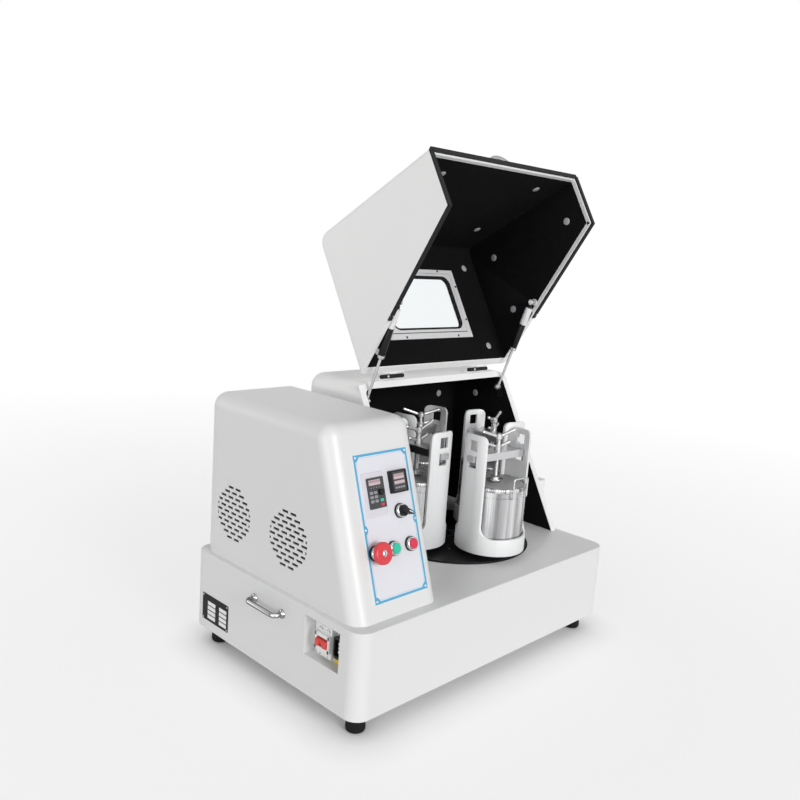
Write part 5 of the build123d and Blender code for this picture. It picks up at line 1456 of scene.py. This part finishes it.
class MILL_OT_hinges(MillOperator):
    """Finish the two hinges and fit their screws"""

    bl_idname = "mill.hinges"
    bl_label = "Hinges"

    def execute(self, context):
        low, high = corners("hinges_fixed")
        leaves, lid_leaves, knuckles, lid_knuckles = Form(), Form(), Form(), Form()
        fixed, moving = Form(), Form()
        long, middle, leaf_top, barrel = 62.0, 20.0, HOOD_TOP + 2.4, 4.2
        end = (long - middle) / 2
        turn = facing((1, 0, 0))

        def knuckle(length):
            """Profile of a hinge barrel with its two edges broken."""
            edges = [(3.9, 0.1), (barrel, 0.4), (barrel, length - 0.4), (3.9, length - 0.1)]
            return [(0.0, 0.1), *edges, (0.0, length - 0.1)]

        for centre in (low.x + 35.0, high.x - 35.0):
            for form, place, side in ((leaves, Matrix.Identity(4), 1), (lid_leaves, SHUT_TO_OPEN, -1)):
                seat = place @ at(centre, HINGE.y + side * 14.0, 0.0)
                form.prism(rounded_box(long, 19.0, 1.5), HOOD_TOP + 0.1, leaf_top, seat, bevel=0.4)
            for start in (centre - long / 2, centre + middle / 2):
                knuckles.turned(knuckle(end), at(start, HINGE.y, HINGE.z) @ turn, steps=32)
                web = at(start + end / 2, HINGE.y + barrel, 0.0)
                leaves.prism(rounded_box(end - 0.4, 3.2, 0.5), HOOD_TOP + 0.2, HINGE.z, web)
            spot = at(centre - middle / 2, HINGE.y, HINGE.z)
            lid_knuckles.turned(knuckle(middle), SHUT_TO_OPEN @ spot @ turn, steps=32)
            web = in_lid(centre, HINGE.y - barrel, 0.0)
            lid_leaves.prism(rounded_box(middle - 0.4, 3.2, 0.5), HOOD_TOP + 0.2, HINGE.z, web)
            for x in (centre - 18.0, centre, centre + 18.0):
                fixed.screw_head(at(x, HINGE.y + 16.0, leaf_top - 0.1), 2.6)
                moving.screw_head(in_lid(x, HINGE.y - 16.0, leaf_top - 0.1), 2.6)
            pin = [(0.0, 0.0), (2.6, 0.0), (2.6, 0.8), (1.8, 1.6), (0.0, 1.8)]
            front = at(centre - 14.0, HINGE.y - 3.9, HINGE.z + 0.6) @ facing((0, -1, 0))
            fixed.turned(pin, front, steps=20)
        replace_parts(knuckles.piece("hinge_knuckles", hinge_black(), "base"), "hinges_fixed")
        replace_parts(lid_knuckles.piece("hinge_lid_knuckles", hinge_black(), "lid"), "hinges_moving")
        leaves.piece("hinge_leaves", hood_enamel(), "base")
        lid_leaves.piece("hinge_lid_leaves", hood_enamel(), "lid")
        fixed.piece("hinge_screws_housing", (zinc(), recess_shade()), "base")
        moving.piece("hinge_screws_lid", (zinc(), recess_shade()), "lid")
        return {"FINISHED"}


class MILL_OT_struts(MillOperator):
    """Build the two gas springs with their eyes, sleeves and studs"""

    bl_idname = "mill.struts"
    bl_label = "Gas struts"

    def execute(self, context):
        foot, axis, long = strut_line()
        reach = corners("strut_rods")[1].x - MILL_X - 4.0
        sleeves, tubes, fittings, rods, necks = Form(), Form(), Form(), Form(), Form()
        bore = 3.3
        eye = [(3.1, -4.0), (5.6, -4.0), (6.0, -3.6), (6.0, 3.6), (5.6, 4.0), (3.1, 4.0)]
        barrel = [(bore, 54.0), (6.4, 54.0), (7.0, 55.0), (7.0, 112.5), (6.9, 113.5), (6.4, 114.2)]
        barrel += [(6.4, 115.4), (6.9, 116.0), (6.6, 117.0), (bore, 117.0)]
        cover = [(0.0, 14.0), (5.0, 14.0), (7.2, 15.2), (7.5, 16.4), (7.5, 52.6), (7.2, 53.4), (6.6, 53.8)]
        cover += [(bore, 53.8), (bore, 20.0), (0.0, 20.0)]
        neck = [(0.0, 4.6), (3.2, 4.6), (3.2, 8.0), (4.6, 8.6)]
        neck += [(4.6, 12.6), (3.6, 13.2), (3.6, 14.4), (0.0, 14.4)]
        collar = [(6.7, 110.0), (7.4, 110.4), (7.4, 115.0), (6.9, 116.6), (6.7, 116.6)]
        pin = [(0.0, 0.0), (3.6, 0.0), (4.4, 0.6), (4.4, 1.4), (3.0, 1.6), (3.0, 13.1), (0.0, 13.1)]
        shaft = [(0.0, 101.0), (3.0, 101.0), (3.0, long - 12.0)]
        shaft += [(3.6, long - 11.4), (3.6, long - 4.8), (0.0, long - 4.8)]
        nut = [(0.0, 4.0), (4.6, 4.0), (4.6, 6.4), (3.4, 7.8), (0.0, 8.4)]
        for sign in (-1, 1):
            lower = Vector((MILL_X + sign * reach, foot.y, foot.z))
            upper = lower - axis * long
            along = Matrix.Translation(upper) @ facing(axis)
            tubes.turned(barrel, along, steps=40, closed=True)
            sleeves.turned(cover, along, steps=40)
            necks.turned(neck, along, steps=24)
            fittings.turned(collar, along, steps=40, closed=True)
            fittings.turned(eye, Matrix.Translation(upper) @ facing((1, 0, 0)), steps=32, closed=True)
            stud = Matrix.Translation(upper - Vector((sign * 5.6, 0.0, 0.0))) @ facing((sign, 0, 0))
            fittings.turned(pin, stud, steps=28)
            rods.turned(shaft, along, steps=28)
            rods.turned(eye, Matrix.Translation(lower) @ facing((1, 0, 0)), steps=32, closed=True)
            rods.turned(nut, Matrix.Translation(lower) @ facing((-sign, 0, 0)), steps=24)
        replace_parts(tubes.piece("strut_barrels", tube_black(), "strut_tubes"), "strut_tubes")
        sleeves.piece("strut_sleeves", sleeve_white(), "strut_tubes")
        fittings.piece("strut_fittings", nickel(), "strut_tubes")
        necks.piece("strut_necks", black_plastic(), "strut_tubes")
        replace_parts(rods.piece("strut_piston_rods", nickel(), "strut_rods"), "strut_rods")
        paint("strut_brackets", black_plastic())
        return {"FINISHED"}


def strut_line():
    """Foot, downward axis and length between pins of the struts, in millimetres, with the lid open."""
    eye = 6.0
    axis = Vector(JOINTS["strut_slide"]["axis"]).normalized()
    foot = joint_point("strut_swing")
    return foot, axis, -min((point - foot).dot(axis) for point in points_of("strut_tubes")) - eye


class MILL_OT_turntable(MillOperator):
    """Finish the disc and fit its centre bolt and cover screws"""

    bl_idname = "mill.turntable"
    bl_label = "Turntable"

    def execute(self, context):
        paint("turntable", disc_black())
        paint("main_shaft", gear_steel())
        angles = [math.radians(-138.6 + 90.0 * step) for step in range(4)]
        spots = [(MILL_X + 90.0 * math.cos(angle), 90.0 * math.sin(angle)) for angle in angles]
        screws("disc_screws", [at(x, y, DISC_TOP) for x, y in spots], 4.0, "turntable", dark_steel)
        washer = [(0.0, 0.0), (22.0, 0.0), (22.0, 2.2), (21.2, 3.0), (0.0, 3.0)]
        hub = Form().turned(washer, at(MILL_X, 0.0, DISC_TOP), steps=56)
        hub.piece("hub_washer", dark_steel(), "turntable")
        bolt = Form().hexagon(at(MILL_X, 0.0, DISC_TOP + 3.0), 19.0, 8.0)
        bolt.piece("hub_bolt", dark_steel(), "turntable")
        return {"FINISHED"}


class MILL_OT_holders(MillOperator):
    """Break the edges of the four slotted jar holders"""

    bl_idname = "mill.holders"
    bl_label = "Jar holders"

    def execute(self, context):
        for number in STATIONS:
            softened(f"jar_holder_{number}", holder_metal(), self.sizes.edge / MM)
        return {"FINISHED"}


class MILL_OT_jars(MillOperator):
    """Turn the four jars with their ribbed lids and wire pulls"""

    bl_idname = "mill.jars"
    bl_label = "Jars"

    def execute(self, context):
        base, rim_top = JAR_FLOOR, PAD_FLOOR - 0.2
        joint = base + 117.1
        radius = JAR_RADIUS - 1.5
        wall = [(0.0, base), (radius - 3.0, base), (radius - 0.6, base + 1.2), (radius, base + 3.4)]
        wall += [(radius, joint - 12.0), (radius - 0.8, joint - 11.4), (radius - 0.8, joint - 9.6)]
        wall += [(radius, joint - 9.0), (radius, joint - 0.6), (radius - 0.6, joint), (0.0, joint)]
        crown = [(radius - 6.0, rim_top - 1.6), (radius - 0.9, rim_top - 1.4)]
        crown += [(radius - 1.8, rim_top - 0.2), (radius - 6.0, rim_top)]
        cap = [(0.0, rim_top - 1.8), (radius - 6.2, rim_top - 1.8), (radius - 6.2, rim_top - 0.5)]
        cap += [(radius - 6.8, rim_top - 0.2), (0.0, rim_top - 0.2)]
        foot, rise, out, half = base + 108.0, 39.0, -(radius + 5.0), 19.0
        pull = [(-half, 3.0 - radius, foot), (-half, out, foot), (-half, out, foot + rise)]
        pull += [(half, out, foot + rise), (half, out, foot), (half, 3.0 - radius, foot)]
        for number in STATIONS:
            place, body = station_place(number), f"holder_{number}"
            pot = Form().turned(wall, place, steps=96)
            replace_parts(pot.piece(f"jar_pot_{number}", turned_steel(), body), f"jar_{number}")
            rim = Form().ribbed(radius - 0.5, 0.5, self.sizes.rib_count, joint + 0.2, rim_top - 1.4, place)
            rim.turned(crown, place, steps=96, closed=True)
            rim.piece(f"jar_rim_{number}", rim_steel(), body)
            top = Form().turned(cap, place, steps=72)
            top.piece(f"jar_top_{number}", jar_cap(), body)
            wire = Form().tube(smooth_path(pull, 4.2), 1.7, place, steps=14, round_ends=False)
            wire.piece(f"jar_wire_{number}", nickel(), body)
        return {"FINISHED"}


class MILL_OT_crossbars(MillOperator):
    """Break the edges of the crossbars and bush their tapped holes"""

    bl_idname = "mill.crossbars"
    bl_label = "Crossbars"

    def execute(self, context):
        ring = [(5.4, -0.4), (8.4, -0.4), (8.4, 0.16), (8.0, 0.24), (5.8, 0.24), (5.4, 0.1)]
        end = 9.0
        for number in STATIONS:
            place, body = station_place(number), f"holder_{number}"
            reach = max(point.length for point in level_offsets(f"crossbar_{number}", place.translation))
            flat = [(-reach, -end), (reach, -end), (reach, end), (-reach, end)]
            bar = Form().prism(flat, BAR_TOP - 12.0, BAR_TOP, place, 0.6)
            bar.prism(self.block(), BAR_TOP - 11.0, BLOCK_TOP, place, 0.8)
            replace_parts(bar.piece(f"crossbar_block_{number}", brushed_steel(), body), f"crossbar_{number}")
            bush = Form().turned(ring, place @ at(0.0, 0.0, BLOCK_TOP), steps=40, closed=True)
            bush.piece(f"crossbar_bush_{number}", zinc(), body)
        return {"FINISHED"}

    def block(self):
        """Outline of the crossbar's wider middle, with hollow corners."""
        half_long, half_wide, step = 46.0, 17.0, 8.0
        outline = []
        for sx, sy in ((1, -1), (1, 1), (-1, 1), (-1, -1)):
            curve = []
            for share in range(7):
                angle = math.pi / 2 * share / 6
                x = half_long + step * (1.0 - math.sin(angle)) * 1.4
                y = half_wide - step * (1.0 - math.cos(angle)) - 0.2
                curve.append((sx * x, sy * y))
            outline += curve[::-1] if sx * sy > 0 else curve
        return outline


class MILL_OT_clamps(MillOperator):
    """Turn the pressure pads and thread the clamp screws with their handles and lock nuts"""

    bl_idname = "mill.clamps"
    bl_label = "Clamp screws"

    def execute(self, context):
        low = PAD_FLOOR
        shape = [(0.0, low), (12.0, low), (15.0, low + 2.6), (16.2, low + 5.4), (16.0, low + 6.2)]
        shape += [(14.6, low + 5.4), (9.0, low + 5.0), (8.5, low + 6.0), (8.5, low + 9.4)]
        shape += [(7.9, low + 10.2), (5.3, low + 10.2), (5.3, low + 4.0), (0.0, low + 4.0)]
        for number in STATIONS:
            place = station_place(number)
            pad = Form().turned(shape, place, steps=56)
            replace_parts(pad.piece(f"pad_disc_{number}", nickel(), f"clamp_pad_{number}"), f"clamp_pad_{number}")
            self.screw(number, place.translation)
        return {"FINISHED"}

    def screw(self, number, spot):
        """Threaded screw with its handle, and the lock nut above the crossbar."""
        body = f"clamp_screw_{number}"
        upright = at(spot.x, spot.y, 0.0)
        low, top = PAD_FLOOR + 3.2, axis_top(body, spot)
        hub_low = top - 11.5
        thread = Form()
        depth, pitch = self.sizes.thread_depth / MM, self.sizes.thread_pitch / MM
        thread.threaded(4.95, depth, pitch, low + 8.0, hub_low + 1.0, upright)
        tip = [(0.0, low), (3.4, low), (4.0, low + 0.8), (4.0, low + 8.4), (0.0, low + 8.4)]
        thread.turned(tip, upright, 28)
        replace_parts(thread.piece(f"screw_thread_{number}", zinc(), body), body)
        handle = Form()
        hub = [(0.0, hub_low), (6.0, hub_low), (7.2, hub_low + 1.0), (7.2, hub_low + 8.8)]
        hub += [(6.0, hub_low + 10.0), (4.4, hub_low + 10.2), (4.4, top - 0.5), (3.9, top), (0.0, top)]
        handle.turned(hub, upright, steps=36)
        nut_low = BLOCK_TOP + 0.4
        nut = Form()
        rim = [(5.2, nut_low), (6.4, nut_low), (7.2, nut_low + 1.6)]
        rim += [(7.2, nut_low + 10.4), (6.6, nut_low + 11.2), (5.2, nut_low + 11.2)]
        nut.turned(rim, upright, steps=36, closed=True)
        direction = wing_direction(number, spot)
        for form, start_z, reach in ((handle, hub_low + 4.4, 41.5), (nut, nut_low + 5.6, 31.0)):
            for side in (-1, 1):
                self.arm(form, spot, direction * side, start_z, reach)
        handle.piece(f"screw_handle_{number}", nickel(), body)
        nut.piece(f"lock_nut_{number}", nickel(), body)

    def arm(self, form, spot, direction, start_z, reach):
        """Arm that rises, narrows in the middle and ends in a round tip."""
        rise = math.tan(math.radians(18.0))
        root, steps = 5.4, 8
        points, radii = [], []
        for step in range(steps + 1):
            share = step / steps
            along = root + (reach - root) * share
            x, y = spot.x + direction.x * along, spot.y + direction.y * along
            points.append((x, y, start_z + along * rise))
            radii.append(3.6 - 0.4 * math.sin(math.pi * share))
        form.tube(points, radii, steps=16)


def axis_top(node, centre):
    """Highest point of a node near its upright axis, in millimetres."""
    near = 5.2
    return max(point.z for point in points_of(node) if (point - centre).xy.length < near)


def wing_direction(number, centre):
    """Level direction of a clamp screw's upper arms."""
    flat = level_offsets(f"clamp_screw_{number}", centre)
    tip = max(flat, key=lambda point: point.length)
    near = [point for point in flat if point.length > tip.length - 1.5 and point.dot(tip) > 0]
    return sum(near, Vector((0.0, 0.0))).normalized()


class MILL_OT_drive(MillOperator):
    """Finish the gears, bearing frame, belt and motor"""

    bl_idname = "mill.drive"
    bl_label = "Drive"

    def execute(self, context):
        paint("bearing_frame", cast_grey())
        paint("motor", motor_paint())
        paint("drive_belt", belt_rubber())
        for node in ("sun_gear", "motor_pulley", *(f"idler_gear_{number}" for number in STATIONS)):
            paint(node, gear_steel())
        return {"FINISHED"}


WHITE = (1.0, 1.0, 1.0, 1.0)
SENSOR_WIDTH = 36.0
CAMERA_PLACE = (-1.185834, -1.0917813, 0.7823451)
CAMERA_TURN = (1.38754046, -0.07091267, -0.78663492)
FLOOR_REACH = 9.0
FLOOR_DROP = 0.0005
SHADOW_REACH = 0.085
PLAIN_RAYS = ("Is Camera Ray", "Is Glossy Ray", "Is Transmission Ray")


class MILL_OT_stage(MillOperator):
    """Set the floor, lamps, surround and camera"""

    bl_idname = "mill.stage"
    bl_label = "Studio"

    def execute(self, context):
        look = context.scene.mill_stage
        self.floor(look)
        self.lamp("front_light", look.key, (0.12, 1.0, -0.31), 24.0)
        self.lamp("left_light", look.side, (1.0, 0.25, -0.22), 30.0)
        self.lamp("top_light", look.top, (0.05, 0.15, -1.0), 30.0)
        self.lamp("back_light", look.back, (0.55, -1.0, -0.05), 40.0)
        self.surround(look)
        camera = bpy.data.cameras.new("camera")
        camera.lens = look.lens
        camera.sensor_width = SENSOR_WIDTH
        camera.clip_start = 0.05
        viewer = bpy.data.objects.new("camera", camera)
        viewer.location = CAMERA_PLACE
        viewer.rotation_euler = CAMERA_TURN
        context.scene.collection.objects.link(viewer)
        context.scene.camera = viewer
        context.scene.view_settings.view_transform = "Standard"
        return {"FINISHED"}

    def floor(self, look):
        """Matt floor that plain rays meet as white far off; close round the mill a fade with distance and ambient
        occlusion take the white away, painting shade and a contact shadow under and round the mill.
        """
        mesh = bmesh.new()
        for x, y in ((-1, -1), (1, -1), (1, 1), (-1, 1)):
            mesh.verts.new((x * FLOOR_REACH, y * FLOOR_REACH, -FLOOR_DROP))
        mesh.faces.new(mesh.verts[:])
        data = bpy.data.meshes.new("floor")
        mesh.to_mesh(data)
        mesh.free()
        ground = bpy.data.objects.new("floor", data)
        bpy.context.scene.collection.objects.link(ground)
        finish = Finish("floor", look.floor, 0.9)
        data.materials.append(finish.material)
        glow = finish.node("ShaderNodeEmission", None, {"Color": WHITE, "Strength": 1.0}, "Emission")
        rays = finish.tree.nodes.new("ShaderNodeLightPath")
        camera, gloss, clear = (Wire(finish, rays.outputs[name]) for name in PLAIN_RAYS)
        x, y, _ = finish.parts_of(finish.place())
        # Painted shade on the floor: the white glow thins towards the mill and where ambient occlusion finds
        # something close over the floor.
        far = (((x * x + y * y) ** 0.5 - 0.55) * 0.45).held()
        open_sky = finish.node("ShaderNodeAmbientOcclusion", {"samples": 16}, {"Distance": SHADOW_REACH}, "AO")
        seen = (camera + gloss + clear).held() * (far * 0.28 + 0.72) * (open_sky * 1.3 - 0.3).held()
        surface = Wire(finish, finish.shader.outputs["BSDF"])
        mixed = finish.node("ShaderNodeMixShader", None, {0: seen, 1: surface, 2: glow}, "Shader")
        finish.tree.links.new(mixed.socket, finish.tree.nodes["Material Output"].inputs["Surface"])

    def lamp(self, name, strength, direction, spread):
        """Soft sun that shines in a direction; spread is its width in degrees."""
        light = bpy.data.lights.new(name, "SUN")
        light.energy = strength
        light.angle = math.radians(spread)
        piece = bpy.data.objects.new(name, light)
        piece.rotation_euler = Vector(direction).to_track_quat("-Z", "Y").to_euler()
        bpy.context.scene.collection.objects.link(piece)

    def surround(self, look):
        """Even light all round, which plain rays meet as white."""
        world = bpy.data.worlds.new("surround")
        bpy.context.scene.world = world
        world.use_nodes = True
        tree = world.node_tree
        even = tree.nodes["Background"]
        white = tree.nodes.new("ShaderNodeBackground")
        for background, strength in ((even, look.fill), (white, 1.0)):
            background.inputs["Color"].default_value = WHITE
            background.inputs["Strength"].default_value = strength
        rays = tree.nodes.new("ShaderNodeLightPath")
        first = tree.nodes.new("ShaderNodeMath")
        second = tree.nodes.new("ShaderNodeMath")
        for node in (first, second):
            node.operation = "ADD"
            node.use_clamp = True
        blend = tree.nodes.new("ShaderNodeMixShader")
        camera, gloss, clear = (rays.outputs[name] for name in PLAIN_RAYS)
        for source, target in (
            (camera, first.inputs[0]),
            (gloss, first.inputs[1]),
            (first.outputs[0], second.inputs[0]),
            (clear, second.inputs[1]),
            (second.outputs[0], blend.inputs[0]),
            (even.outputs[0], blend.inputs[1]),
            (white.outputs[0], blend.inputs[2]),
            (blend.outputs[0], tree.nodes["World Output"].inputs["Surface"]),
        ):
            tree.links.new(source, target)


# ---------------------------------------------------------------- panel and registration
OPERATORS = (
    MILL_OT_covers,
    MILL_OT_feet,
    MILL_OT_carry_handles,
    MILL_OT_data_plate,
    MILL_OT_mains,
    MILL_OT_vents,
    MILL_OT_overlay,
    MILL_OT_keypad,
    MILL_OT_buttons,
    MILL_OT_lining,
    MILL_OT_seal,
    MILL_OT_window,
    MILL_OT_lid_handle,
    MILL_OT_hinges,
    MILL_OT_struts,
    MILL_OT_turntable,
    MILL_OT_holders,
    MILL_OT_jars,
    MILL_OT_crossbars,
    MILL_OT_clamps,
    MILL_OT_drive,
    MILL_OT_stage,
)


class MILL_PT_dresser(bpy.types.Panel):
    """Sidebar panel that lists the mill's operators and properties"""

    bl_label = "Ball Mill"
    bl_idname = "MILL_PT_dresser"
    bl_space_type = "VIEW_3D"
    bl_region_type = "UI"
    bl_category = "Ball Mill"

    def draw(self, context):
        layout = self.layout
        for group in (context.scene.mill_colours, context.scene.mill_sizes, context.scene.mill_stage):
            box = layout.box()
            for name in group.bl_rna.properties.keys():
                if name not in ("rna_type", "name"):
                    box.prop(group, name)
        column = layout.column(align=True)
        for operator in OPERATORS:
            column.operator(operator.bl_idname)


GROUPS = (MillColours, MillSizes, MillStage)


def register():
    for item in (*GROUPS, *OPERATORS, MILL_PT_dresser):
        bpy.utils.register_class(item)
    bpy.types.Scene.mill_colours = bpy.props.PointerProperty(type=MillColours)
    bpy.types.Scene.mill_sizes = bpy.props.PointerProperty(type=MillSizes)
    bpy.types.Scene.mill_stage = bpy.props.PointerProperty(type=MillStage)


def unregister():
    del bpy.types.Scene.mill_stage
    del bpy.types.Scene.mill_sizes
    del bpy.types.Scene.mill_colours
    for item in reversed((*GROUPS, *OPERATORS, MILL_PT_dresser)):
        bpy.utils.unregister_class(item)


def main():
    register()
    for operator in OPERATORS:
        group, name = operator.bl_idname.split(".")
        getattr(getattr(bpy.ops, group), name)()


if __name__ == "__main__":
    main()
